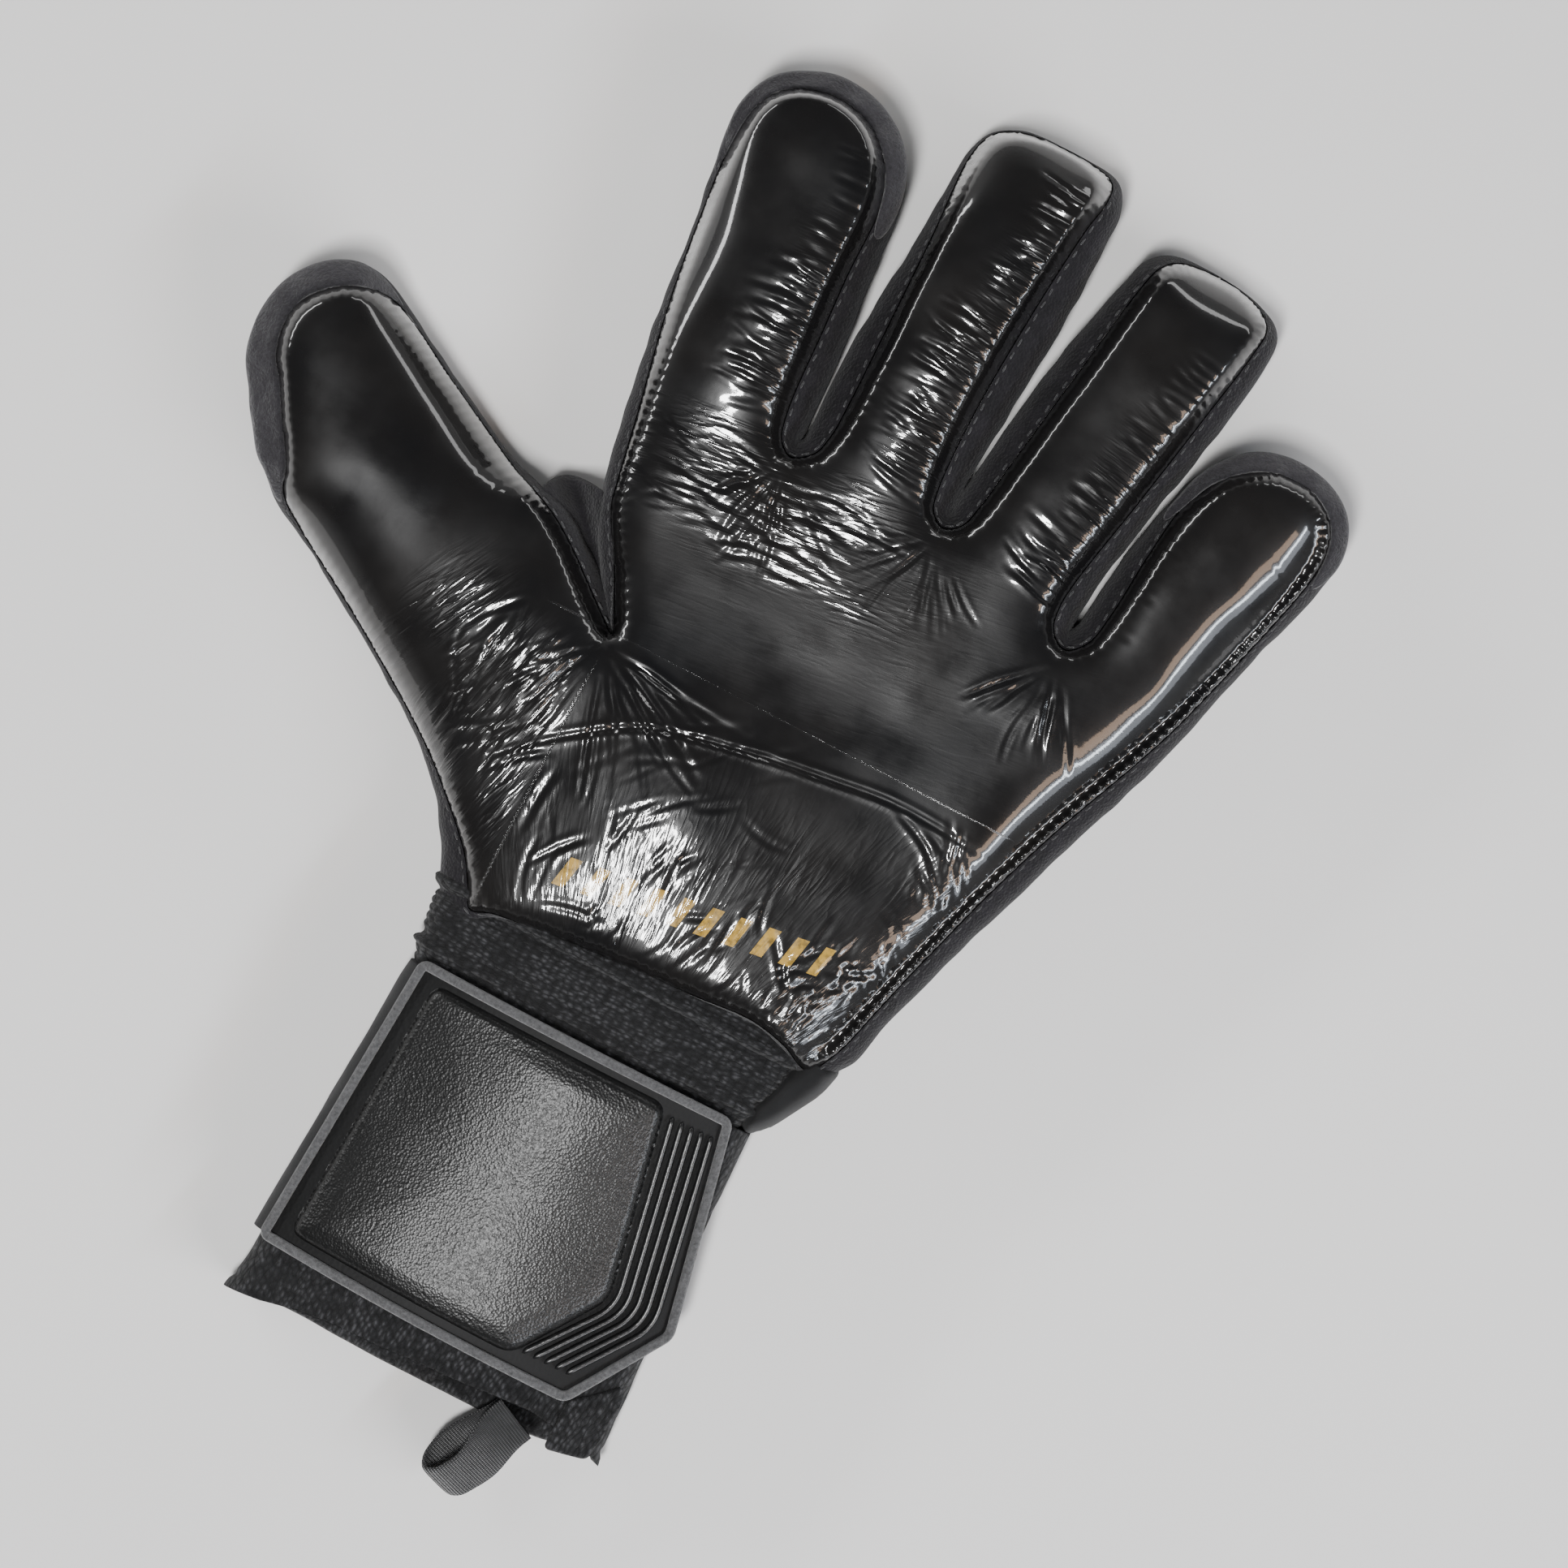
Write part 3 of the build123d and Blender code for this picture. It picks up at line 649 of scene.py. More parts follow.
OUTLINE = [
    ("hand", [
        (43, -48, 2), (46.8, -42, 4), (50, -31, 3.6), (53, -20, 4.2), (56, -10, 4.2), (59, 0, 4.6),
        (66, 20, 4.6), (74.2, 40, 3.6),
    ]),
    ("little", [
        (78, 50, 2.8), (84, 70, 2.1), (88.8, 90, 3), (89.4, 97, 3.6), (87.6, 102.5, 3.9),
        (83.5, 106.3, 4), (78, 108, 4), (71.5, 107.3, 4.2), (65.5, 103.8, 4.2), (61, 98.6, 3.2),
        (58.2, 92, 2.5), (56.5, 80, 3.6), (55.3, 65, 4.4), (53.8, 58, 4.2),
    ]),
    ("hand", [(50, 54.5, 3.9)]),
    ("ring", [
        (46.2, 57, 4.2), (45.1, 62, 4.6), (45.6, 68, 4.5), (49.5, 88, 3.9), (53.2, 108, 4.4),
        (56.5, 127, 3.9), (56.8, 133, 3), (53.5, 137.3, 1), (48, 139.3, 0.5), (41, 139.6, 0.5),
        (34.5, 137.8, 1.6), (31, 134, 3.2), (29.3, 128, 3.6), (26, 107, 5.2), (22.3, 83, 5),
        (20.8, 73, 4.7), (19.2, 67.5, 4.2),
    ]),
    ("hand", [(15.8, 65.3, 3.9)]),
    ("middle", [
        (12.6, 67.5, 4.2), (11.4, 72, 4.7), (10.8, 90, 6.2), (11.8, 112, 6.8), (13.8, 134, 5.2),
        (15, 141, 3.6), (14.2, 145.6, 2), (9, 148.3, 0.6), (0, 148.6, 0.5), (-8, 147.4, 0.6),
        (-12.8, 144.5, 0.6), (-14.9, 139, 0.8), (-14.1, 118, 2.6), (-13.5, 92, 5.2),
        (-13.3, 80, 5.4), (-13.6, 71, 4.8), (-15, 66.6, 4.3),
    ]),
    ("hand", [(-19, 63.8, 3.9)]),
    ("index", [
        (-22.2, 66, 4.3), (-23.9, 72, 5), (-25.1, 90, 5.4), (-25.9, 103, 4.8), (-26.3, 118, 3.8),
        (-28.3, 124.5, 4.5), (-32.3, 130, 4.9), (-37.5, 133.5, 4.7), (-43.5, 134.7, 4.6),
        (-50, 133.8, 4.2), (-55.3, 131, 3.8), (-58.9, 126, 3.4), (-60.3, 118, 2.2),
        (-59.2, 98, 0.9), (-56, 78, 1.9), (-51.6, 58, 3), (-48.3, 41, 3),
    ]),
    ("web", [
        (-47.6, 38, 2.6), (-44.5, 32, 3), (-40, 24.5, 3), (-36.3, 17.3, 2), (-35, 14, 0.8),
        (-38, 16, 2), (-44, 20.8, 3), (-50, 25.6, 3), (-57, 30.3, 2.6), (-63, 33, 1.8),
    ]),
    ("thumb", [
        (-70, 35.8, 1), (-90, 46, 0.9), (-108, 54.9, 1.5), (-114.5, 54.2, 5), (-120.5, 50.6, 6),
        (-124.6, 45.6, 5.8), (-125.5, 39.5, 6), (-123.8, 33, 6.5), (-120, 27.5, 7),
        (-115.5, 20, 6.6), (-111.5, 14, 5.6), (-109, 8, 2.5), (-104, 3.7, 1), (-85, -7.6, 1),
        (-65, -20.5, 1.2),
    ]),
    ("hand", [
        (-56, -27, 1.8), (-50, -32, 2.6), (-45, -36.6, 4.2), (-40.5, -41.5, 5.6), (-37, -47, 6.4),
        (-34.8, -50.5, 5),
    ]),
    ("heel", [
        (-30, -49, 1), (-20, -47.7, 0.8), (0, -46, 0.8), (15, -44.8, 0.8), (28, -43.8, 0.8),
        (36, -45.3, 0.8),
    ]),
]
FULL_SIDE_WIDTH = 3.2  # a side wall this wide holds the latex edge at its full height
LEAST_SIDE_WIDTH = 0.3


def seam_height(label, width):
    """Height of the latex edge beside a side wall of some width."""
    if label == "heel":
        return SEAM_HEEL
    if label == "web":
        return SEAM_HIGH - 1
    return SEAM_LOW + (SEAM_HIGH - SEAM_LOW) * float(smooth_step(width / FULL_SIDE_WIDTH))


control = []
control_label = []
for label, run in OUTLINE:
    for x, y, width in run:
        control.append((x, y, width, seam_height(label, width)))
        control_label.append(label)
seam = smooth_curve(control, SEAM_STEP, closed=True)
SEAM_XY = seam[:, :2]
SIDE_WIDTH = rolling_mean(np.maximum(seam[:, 2], LEAST_SIDE_WIDTH), 4)
SEAM_Z = rolling_mean(seam[:, 3], 5)
SEAM_LABEL = np.array(control_label)[nearest_on(np.array(control)[:, :2], SEAM_XY)[0]]
SEAM_OUT = rolling_mean(right_normals(SEAM_XY, reach=2), 3)
SEAM_OUT /= np.linalg.norm(SEAM_OUT, axis=1)[:, None]
SEAM_RUN = np.arange(len(seam)) * SEAM_STEP

# ---- Digits and regions: how each piece moves ----

DIGIT_START = 2.5  # from the base joint to where a digit's own pieces begin
DIGIT_SPLIT = 0.62  # share of the way to the middle joint where a digit's root piece ends
DIGIT_REACH = {"thumb": 27.0}  # how far to each side a digit's pieces can reach
OTHER_REACH = 21.0
BLEND_HEIGHT = 18.0  # the finger joints' own height


class Digit:
    """A finger or the thumb: its joints come from the frame."""

    def __init__(self, name):
        base = JOINTS[f"{name}_base_bend"]
        middle = JOINTS[f"{name}_middle_bend"]
        self.name = name
        self.base = np.array(base["pos_m"][:2]) / MM
        self.across = np.array(base["axis"][:2])
        self.along = np.array([-self.across[1], self.across[0]])
        self.middle = float((np.array(middle["pos_m"][:2]) / MM - self.base) @ self.along)
        self.start = DIGIT_START
        self.split = DIGIT_SPLIT * self.middle
        self.half = DIGIT_REACH.get(name, OTHER_REACH)

    def local(self, xy):
        """Distance along the digit from its base joint, and sideways from its centre line."""
        away = xy - self.base
        return away @ self.along, away @ self.across

    def at(self, along):
        """Point on the digit's centre line, at the height of its joints, in metres."""
        x, y = self.base + along * self.along
        return (x * MM, y * MM, BLEND_HEIGHT * MM)


DIGITS = {name: Digit(name) for name in DIGIT_NAMES}


def region_of(xy):
    """Name of the region of each point: hand, NAME_root or NAME_end."""
    best = np.full(len(xy), 1e9)
    region = np.full(len(xy), "hand", dtype="U16")
    for digit in DIGITS.values():
        along, across = digit.local(xy)
        away = np.abs(across)
        mine = (along > digit.start) & (away < digit.half) & (away < best)
        best[mine] = away[mine]
        region[mine] = np.where(along[mine] < digit.split, f"{digit.name}_root", f"{digit.name}_end")
    return region


ACROSS_WRIST = ("hand", "cuff", (0, -0.049, 0.012), (0, -0.061, 0.012))
ACROSS_WEB = ("hand", "thumb_lower", (-0.040, 0.026, 0.018), (-0.058, 0.030, 0.018))
ACROSS_STRAP_FOLD = ("cuff", "strap", (-0.0415, -0.097, 0.0150), (-0.0405, -0.097, 0.0215))


def across_digit(region):
    """The two bodies that a digit's region bends between, and where the bend starts and ends."""
    name, part = region.split("_")
    digit = DIGITS[name]
    if part == "root":
        return "hand", f"{name}_lower", digit.at(digit.start), digit.at(digit.split - 0.5)
    end = 2 * digit.middle - digit.split
    return f"{name}_lower", f"{name}_upper", digit.at(digit.split + 0.5), digit.at(end)


def attach(piece, slot, motion, *nodes, fill=None):
    """Hides the CAD nodes that a piece stands for and places it by its motion: a body's name parents it to
    that body, while a region or a bend only bakes it in place. The slot is not used.
    """
    if nodes:
        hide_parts(*nodes)
    if isinstance(motion, str) and motion.endswith(("_root", "_end")):
        motion = across_digit(motion)
    if isinstance(motion, str):
        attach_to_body(piece, motion)
    else:
        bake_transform(piece)


# ---- Creases of the film and the latex under it ----

CREASE_DEPTH = 0.62
CREASE_WIDTH = 0.48  # half width
creases = []  # each: points, depth, half width


def crease(start, end, depth, width, bow):
    """One crease on a slightly bowed line from start to end."""
    start, end = np.asarray(start, float), np.asarray(end, float)
    run = end - start
    side = np.array([-run[1], run[0]])
    t = np.linspace(0, 1, 7)[:, None]
    creases.append((start + run * t + side * bow * 4 * t * (1 - t), depth, width))


def cross_creases(name, sides, span, count, length, depth):
    """Creases that run in from a digit's seam, square to it."""
    digit = DIGITS[name]
    along, across = digit.local(SEAM_XY)
    for _ in range(count):
        where = random.uniform(*span)
        sign = random.choice(sides)
        on_side = (SEAM_LABEL == name) & (np.sign(across) == sign)
        nearest = np.where(on_side)[0][np.argmin(np.abs(along[on_side] - where))]
        reach = random.uniform(*length)
        start = SEAM_XY[nearest] - 0.4 * SEAM_OUT[nearest]
        end = start - sign * reach * digit.across + random.uniform(-0.16, 0.22) * reach * digit.along
        this_depth = random.uniform(0.5, 1) * depth
        this_width = random.uniform(0.8, 1.3) * CREASE_WIDTH
        crease(start, end, this_depth, this_width, random.uniform(-0.08, 0.08))


def fan_creases(centre, angles, inner, outer, count, depth, width):
    """Creases that spread from a point, between two angles in degrees."""
    for _ in range(count):
        turn = math.radians(random.uniform(*angles))
        ray = np.array([math.cos(turn), math.sin(turn)])
        near = random.uniform(inner, inner + 0.35 * (outer - inner))
        far = random.uniform(near + 0.3 * (outer - inner), outer)
        this_depth = random.uniform(0.4, 1) * depth
        this_width = random.uniform(0.8, 1.4) * width
        crease(centre + near * ray, centre + far * ray, this_depth, this_width, random.uniform(-0.07, 0.07))


def patch_creases(corner, far_corner, turn, count, length, depth, spread):
    """Creases scattered over a rectangle, near one direction in degrees."""
    for _ in range(count):
        centre = np.array([random.uniform(corner[i], far_corner[i]) for i in (0, 1)])
        angle = math.radians(random.gauss(turn, spread))
        half = 0.5 * random.uniform(*length) * np.array([math.cos(angle), math.sin(angle)])
        this_depth = random.uniform(0.4, 1) * depth
        this_width = random.uniform(0.8, 1.4) * CREASE_WIDTH
        crease(centre - half, centre + half, this_depth, this_width, random.uniform(-0.1, 0.1))


CROSS_CREASES = [  # digit, sides, span along it, how many, length, depth
    ("index", [1], (4, 34), 46, (5, 19), 0.55),
    ("index", [1], (34, 62), 16, (3, 11), 0.3),
    ("middle", [1], (2, 42), 60, (6, 20), 0.55),
    ("middle", [1], (44, 74), 34, (5, 14), 0.5),
    ("middle", [-1], (3, 24), 12, (4, 8), 0.25),
    ("ring", [1], (0, 30), 40, (5, 17), 0.5),
    ("ring", [1], (32, 62), 22, (4, 12), 0.32),
    ("little", [-1, 1], (2, 40), 14, (3, 9), 0.22),
    ("thumb", [-1, 1], (4, 44), 10, (3, 9), 0.2),
]
FAN_CREASES = [  # centre, angles, nearest and furthest reach, how many, depth, half width
    ((-19, 61), (-150, -25), 2, 24, 26, 0.34, 0.42),
    ((15.8, 62), (-160, -35), 2, 22, 26, 0.34, 0.42),
    ((50, 51), (-140, -55), 2, 24, 28, 0.34, 0.42),
    ((-35, 12), (-75, -5), 3, 36, 14, 0.6, 0.5),
    ((-35, 12), (-150, -95), 4, 26, 16, 0.4, 0.5),
]
PATCH_CREASES = [  # corner, far corner, direction, how many, length, depth, spread of directions
    ((-44, 40), (6, 60), 4, 52, (7, 20), 0.34, 12),
    ((-62, -22), (-38, 10), 68, 70, (6, 17), 0.42, 16),
    ((-34, -44), (40, -18), 80, 52, (5, 16), 0.4, 22),
    ((-30, -24), (20, 8), 30, 20, (6, 20), 0.25, 40),
    ((44, -40), (56, 10), 125, 46, (3, 9), 0.35, 16),
    ((30, -46), (48, -24), 60, 34, (4, 12), 0.45, 26),
]
PALM_LINES = [  # the long fold across the palm, then the shorter ones beside it: points, depth
    ([(-46, -20), (-33, -9), (-20, -0.5), (0, 4.8), (20, 8), (33, 9.6), (46, 9.2), (58, 8)], 0.75),
    ([(-34, 11), (-22, 9.5), (-9, 6)], 0.6),
    ([(-33, 9), (-22, 2), (-13, -5)], 0.45),
    ([(34, 9), (44, 4), (52, -5)], 0.45),
]
for row in CROSS_CREASES:
    cross_creases(*row)
for row in FAN_CREASES:
    fan_creases(*row)
for row in PATCH_CREASES:
    patch_creases(*row)
for line, depth in PALM_LINES:
    creases.append((smooth_curve(line, 1.2, closed=False), depth, 0.5))


def crease_height(xy):
    """Sum of all creases: a sharp valley with a soft lip on each side, tapering to its ends."""
    height = np.zeros(len(xy))
    for line, depth, width in creases:
        margin = 5 * width
        low, high = line.min(0) - margin, line.max(0) + margin
        near = np.where(((xy > low) & (xy < high)).all(1))[0]
        if not len(near):
            continue
        here = xy[near]
        best = np.full(len(here), 1e9)
        place = np.zeros(len(here))
        for count, (a, b) in enumerate(zip(line, line[1:])):
            run = b - a
            t = np.clip((here - a) @ run / (run @ run), 0, 1)
            away = np.linalg.norm(here - a - t[:, None] * run, axis=1)
            closer = away < best
            best[closer] = away[closer]
            place[closer] = (count + t[closer]) / (len(line) - 1)
        taper = np.sin(np.pi * np.clip(place, 0.02, 0.98)) ** 0.7
        valley = bell(best, width) - 0.6 * bell(best - 2.0 * width, width)
        height[near] -= CREASE_DEPTH * depth * taper * valley
    return height


# ---- Latex skin: palm, fingers and thumb in one surface, cut into regions ----

MOUNDS = [  # x, y, reach x, reach y, height
    (-8, -10, 24, 21, 3.4),
    (-45, 7, 16, 17, 2.6),
    (54, 12, 12, 34, 1.0),
    (6, 30, 34, 22, -0.9),
]
DIGIT_RISE = {"index": 6.0, "middle": 5.8, "ring": 2.4, "little": 1.4, "thumb": 1.6}  # from palm to finger
DIGIT_RISE_START = -14.0  # along a digit from its base joint
DIGIT_RISE_REACH = 48.0
LITTLE_FALL = 6.0  # how far the latex slopes down towards the little-finger edge
LITTLE_FALL_REACH = 14.0
LANE_EDGE = 6.0  # over which the rise of a digit fades out sideways
SEAM_LEVEL_REACH = 10.0  # how far a low or high stretch of seam is felt
PUCKER_HEIGHT = 0.22
PUCKER_PITCH = 2.3
PUCKER_PLACE = 1.2  # how far inside the seam the puckers stand


def little_edge_share():
    """1 along the outer edge on the little-finger side, fading out at its ends."""
    outer = (SEAM_OUT[:, 0] > 0.8) & (SEAM_XY[:, 0] > 44) & np.isin(SEAM_LABEL, ("hand", "little"))
    return rolling_mean(outer.astype(float), 14)


def build_skin():
    """The latex surface as a puffed membrane held at its seam, with mounds, creases and puckers."""
    corners, faces = fill_outline(SEAM_XY, SKIN_STEP)
    count = len(SEAM_XY)
    rise = relax(faces, SKIN_STEP, PUFF_REACH, count, np.zeros(count), 1.0)
    floor = relax(faces, SKIN_STEP, SEAM_LEVEL_REACH, count, SEAM_Z, SEAM_HIGH)
    rise = np.clip(rise, 0, 1)
    z = floor + PUFF * rise**PUFF_POWER
    inner = smooth_step(rise * 2.2)
    for x, y, reach_x, reach_y, height in MOUNDS:
        away = ((corners[:, 0] - x) / reach_x) ** 2 + ((corners[:, 1] - y) / reach_y) ** 2
        z += height * inner * np.exp(-away)
    for digit in DIGITS.values():
        along, across = digit.local(corners)
        lane = smooth_step((digit.half - np.abs(across)) / LANE_EDGE)
        climb = smooth_step((along - DIGIT_RISE_START) / DIGIT_RISE_REACH)
        z += DIGIT_RISE[digit.name] * lane * inner * climb
    z += inner * (0.3 * noise(corners, 19, 3) + 0.12 * noise(corners, 8, 4))
    z += crease_height(corners) * smooth_step(rise * 6)
    nearest, away = nearest_on(SEAM_XY, corners)
    fall = relax(faces, SKIN_STEP, LITTLE_FALL_REACH, count, little_edge_share(), 0.0)
    z -= LITTLE_FALL * fall * inner
    run = SEAM_RUN[nearest]
    pucker = np.sin(2 * np.pi * run / PUCKER_PITCH + 1.5 * np.sin(run / 9))
    z += PUCKER_HEIGHT * pucker * bell(away - PUCKER_PLACE, 1.1) * (away > 0.05)
    return np.column_stack([corners, z]), faces


HEEL_FAN = (4.0, -105.0)  # the heel's fine creases spread from this point
HEEL_FAN_SPREAD = 75.0
HEEL_TOP = 12.0  # y where the heel's crinkles end
THUMB_EDGE = -35.0  # x where the thumb's ball begins
THUMB_TOP = 16.0
KNUCKLES_LOW = 34.0  # y where the crinkles under the fingers begin
KNUCKLES_RIGHT = 30.0
CRINKLE_ZONES = {  # how far across a digit they begin, over what width, up to what length
    "index": (-0.05, 14, 48),
    "middle": (-0.35, 12, 75),
    "ring": (-0.2, 14, 52),
    "little": (0.3, 10, 40),
    "thumb": (0.6, 20, 20),
}


def grain_layers(points):
    """Vectors that steer the fine film crinkles, and how strong they are at each point."""
    xy = points[:, :2]
    x, y = xy.T

    def layer(first, second, apart):
        """Grain coordinates in metres; apart keeps one area's pattern from the next one's."""
        return np.column_stack([first, second, np.full(len(first), apart)]) * MM

    reach = np.hypot(x - HEEL_FAN[0], y - HEEL_FAN[1])
    turn = np.arctan2(x - HEEL_FAN[0], y - HEEL_FAN[1])
    grain = layer(reach, HEEL_FAN_SPREAD * turn, 20.0)
    strength = smooth_step((HEEL_TOP - y) / 16) * (0.26 + 0.2 * noise(xy, 12, 9))

    at_thumb = (x < THUMB_EDGE) & (y < THUMB_TOP)
    grain[at_thumb] = layer(0.3 * x + y, x - 0.3 * y, 60.0)[at_thumb]
    ball = 0.5 * smooth_step((THUMB_TOP - y) / 8) * smooth_step(np.abs(x - THUMB_EDGE) / 4)
    strength[at_thumb] = ball[at_thumb]

    above = y >= 14
    grain[above] = layer(x, y - 0.12 * x, 80.0)[above]
    near_knuckles = smooth_step((y - KNUCKLES_LOW) / 14) * smooth_step((KNUCKLES_RIGHT - x) / 30)
    strength[above] = (near_knuckles * (0.36 + 0.25 * noise(xy, 10, 12)) + 0.04)[above]

    for digit in DIGITS.values():
        along, across = digit.local(xy)
        mine = (along > digit.start) & (np.abs(across) < digit.half)
        grain[mine] = layer(across, along, 40.0)[mine]
        low_side, width, end = CRINKLE_ZONES[digit.name]
        share = smooth_step((across - low_side * digit.half * 0.8) / width)
        if digit.name == "thumb":
            share = smooth_step((low_side * digit.half - across) / width)
        fade = 1 - smooth_step((along - 0.6 * end) / (0.5 * end))
        strength[mine] = (share * fade * (0.8 + 0.3 * noise(xy, 9, 13)))[mine]
        in_lane = np.abs(across) < digit.half
        strength[in_lane] *= smooth_step((np.abs(along - digit.start) - 1.0) / 3)[in_lane]
    return {"grain": grain, "crinkle": np.clip(strength, 0, 1)}


SKIN_NODES = {"hand": ["palm_latex", "palm_foam"]}
BACK_NODES = {"hand": ["back_panel"]}
SIDE_NODES = {"hand": ["side_gussets", "crotch_gussets"]}
for name in DIGIT_NAMES:
    SKIN_NODES[f"{name}_root"] = [f"{name}_lower_latex", f"{name}_flex_zones"]
    SKIN_NODES[f"{name}_end"] = [f"{name}_upper_latex"]
    BACK_NODES[f"{name}_root"] = [f"{name}_lower_back"]
    BACK_NODES[f"{name}_end"] = [f"{name}_upper_back"]
    SIDE_NODES[f"{name}_root"] = [f"{name}_lower_gussets"]
    SIDE_NODES[f"{name}_end"] = [f"{name}_upper_gussets", f"{name}_tip"]
REGIONS = list(SKIN_NODES)
LATEX_FILL = 0.6


def faces_region(points, faces):
    return region_of(points[faces][:, :, :2].mean(1))


def region_pieces(ending, mesh, regions, materials, slot, nodes, fill=None, layers=None):
    """One piece for each region of a mesh; materials has a region's own or, under None, the rest's."""
    points, faces = mesh
    normals = vertex_normals(points, faces)
    for region in REGIONS:
        material = materials.get(region, materials[None])
        piece = part_piece(region + ending, points, faces, regions == region, material, normals, layers)
        attach(piece, slot, region, *nodes[region], fill=fill)


skin = build_skin()
region_pieces(
    "_latex_skin", skin, faces_region(*skin), {"hand": FILM_PRINTED, None: FILM}, "latex", SKIN_NODES,
    fill=LATEX_FILL, layers=grain_layers(skin[0]),
)

# ---- Side walls: from the latex seam out to the silhouette and down to the back ----

SIDE_RIPPLE = 0.22
SIDE_PLAY = 0.10  # how far the fabric's edge stands off the latex's
SIDE_LIFT = 0.25


def build_sides():
    """The fabric walls: they bulge out to the silhouette between the seam and the back."""
    count = len(SEAM_XY)
    rows = []
    ripple = SIDE_RIPPLE * noise(np.column_stack([SEAM_RUN, np.zeros(count)]), 4.5, 21)
    for t in np.linspace(0, 1, SIDE_ROWS + 1):
        bulge = math.sin(math.pi * t**0.72)
        out = SIDE_WIDTH * bulge + ripple * math.sin(math.pi * t) + SIDE_PLAY
        xy = SEAM_XY + SEAM_OUT * out[:, None]
        z = SEAM_Z + SIDE_LIFT + (SIDE_BOTTOM - SEAM_Z) * t
        rows.append(np.column_stack([xy, z]))
    points = np.vstack(rows)
    faces = grid_faces(SIDE_ROWS + 1, count, wrap_columns=True)[:, ::-1]
    return points, faces


seam_region = region_of(SEAM_XY)
sides = build_sides()
side_region = seam_region[sides[1].min(1) % len(SEAM_XY)]
region_pieces("_side_fabric", sides, side_region, {None: SUEDE}, "gusset", SIDE_NODES)

# ---- Back of the hand and of the fingers ----

BACK_FILL = 0.4
BACK_LOW = 0.3
BACK_REACH = 6.0  # how far in from its edge the back has sunk to the surface it lies on


def build_back():
    """The back of the hand and digits, rounded up to the side walls at its edge."""
    corners, faces = fill_outline(SEAM_XY[::2], BACK_STEP)
    count = len(SEAM_XY[::2])
    rise = relax(faces, BACK_STEP, BACK_REACH, count, np.zeros(count), 1.0)
    z = SIDE_BOTTOM - (SIDE_BOTTOM - BACK_LOW) * np.clip(rise, 0, 1) ** 0.6
    return np.column_stack([corners, z]), faces[:, ::-1]


back = build_back()
region_pieces("_back", back, faces_region(*back), {None: SMOOTH}, "back", BACK_NODES, fill=BACK_FILL)

# ---- Bindings round the tips, and the stitches along the seams ----


def seam_between(first, last):
    """Seam samples from the one nearest to a point to the one nearest to another."""
    start, end = nearest_on(SEAM_XY, (first, last))[0]
    if end < start:
        end += len(SEAM_XY)
    return np.arange(start, end + 1) % len(SEAM_XY)


BINDING_THICKNESS = 1.5
BINDING_COLUMNS = 22
BINDING_TILT = 0.35  # its outer edge is this much of its half width lower
BINDING_DROP = 0.6  # below the latex edge
BINDINGS = {
    "index": ((-26.5, 112), (-60, 110)),
    "little": ((88.8, 90), (57.5, 88)),
    "thumb": ((-106, 54), (-108, 7)),
}


def build_binding(name):
    """Flat folded strip that wraps the edge of a tip, wavy and thinning out at both ends."""
    where = seam_between(*BINDINGS[name])
    count = len(where)
    run = np.arange(count) * SEAM_STEP
    lane = np.column_stack([run, np.full(count, 3.0)])
    width = SIDE_WIDTH[where]
    taper = end_taper(count, 14)
    middle = 0.45 * width + 0.2 * noise(lane, 5, 31)
    rise = SEAM_Z[where] - BINDING_DROP + 0.45 * noise(lane, 6, 32)
    xy = SEAM_XY[where] + SEAM_OUT[where] * middle[:, None]
    half = (0.5 * width + 0.1) * taper
    rings = []
    for u, v in oval(1, 1, BINDING_COLUMNS, 3.4):
        thick = BINDING_THICKNESS + 0.35 * noise(lane + (0, 4 * u), 3, 33)
        tilt = -BINDING_TILT * u * half
        at = xy + SEAM_OUT[where] * (u * half)[:, None]
        rings.append(np.column_stack([at, rise + v * thick * taper + tilt]))
    points = np.stack(rings, 1).reshape(-1, 3)
    return points, grid_faces(count, BINDING_COLUMNS, wrap_columns=True)


for name in BINDINGS:
    piece = smooth_piece(f"{name}_tip_binding", build_binding(name), BINDING)
    attach(piece, "gusset", f"{name}_end")

STITCH_PITCH = 3.1
STITCH_LENGTH = 1.9
STITCH_RADIUS = 0.2


def stitch(centre, ahead):
    """One visible length of thread, dipping into the fabric at both ends."""
    t = np.linspace(-0.5, 0.5, 7)
    path = centre + np.outer(t * STITCH_LENGTH, ahead)
    path[:, 2] -= 1.6 * STITCH_RADIUS * (2 * t) ** 4
    return sweep(path, oval(STITCH_RADIUS, STITCH_RADIUS, 8), end_taper(7, 2))


def stitch_row(where):
    """Stitches along the latex seam at the given samples."""
    gap = int(round(STITCH_PITCH / SEAM_STEP))
    parts = []
    for k in where[::gap]:
        ahead = np.array([-SEAM_OUT[k, 1], SEAM_OUT[k, 0], 0])
        out = 0.32 + 0.08 * SIDE_WIDTH[k]
        centre = np.array([*(SEAM_XY[k] + out * SEAM_OUT[k]), SEAM_Z[k] + 0.1])
        parts.append(stitch(centre, unit(ahead + (0.12 * random.uniform(-1, 1), 0, 0))))
    return joined(parts)


for region in REGIONS:
    where = np.where((seam_region == region) & (SIDE_WIDTH > 1.6))[0]
    attach(new_piece(f"{region}_stitches", *stitch_row(where), THREAD), "gusset", region)

# ---- Web between the thumb and the index finger ----

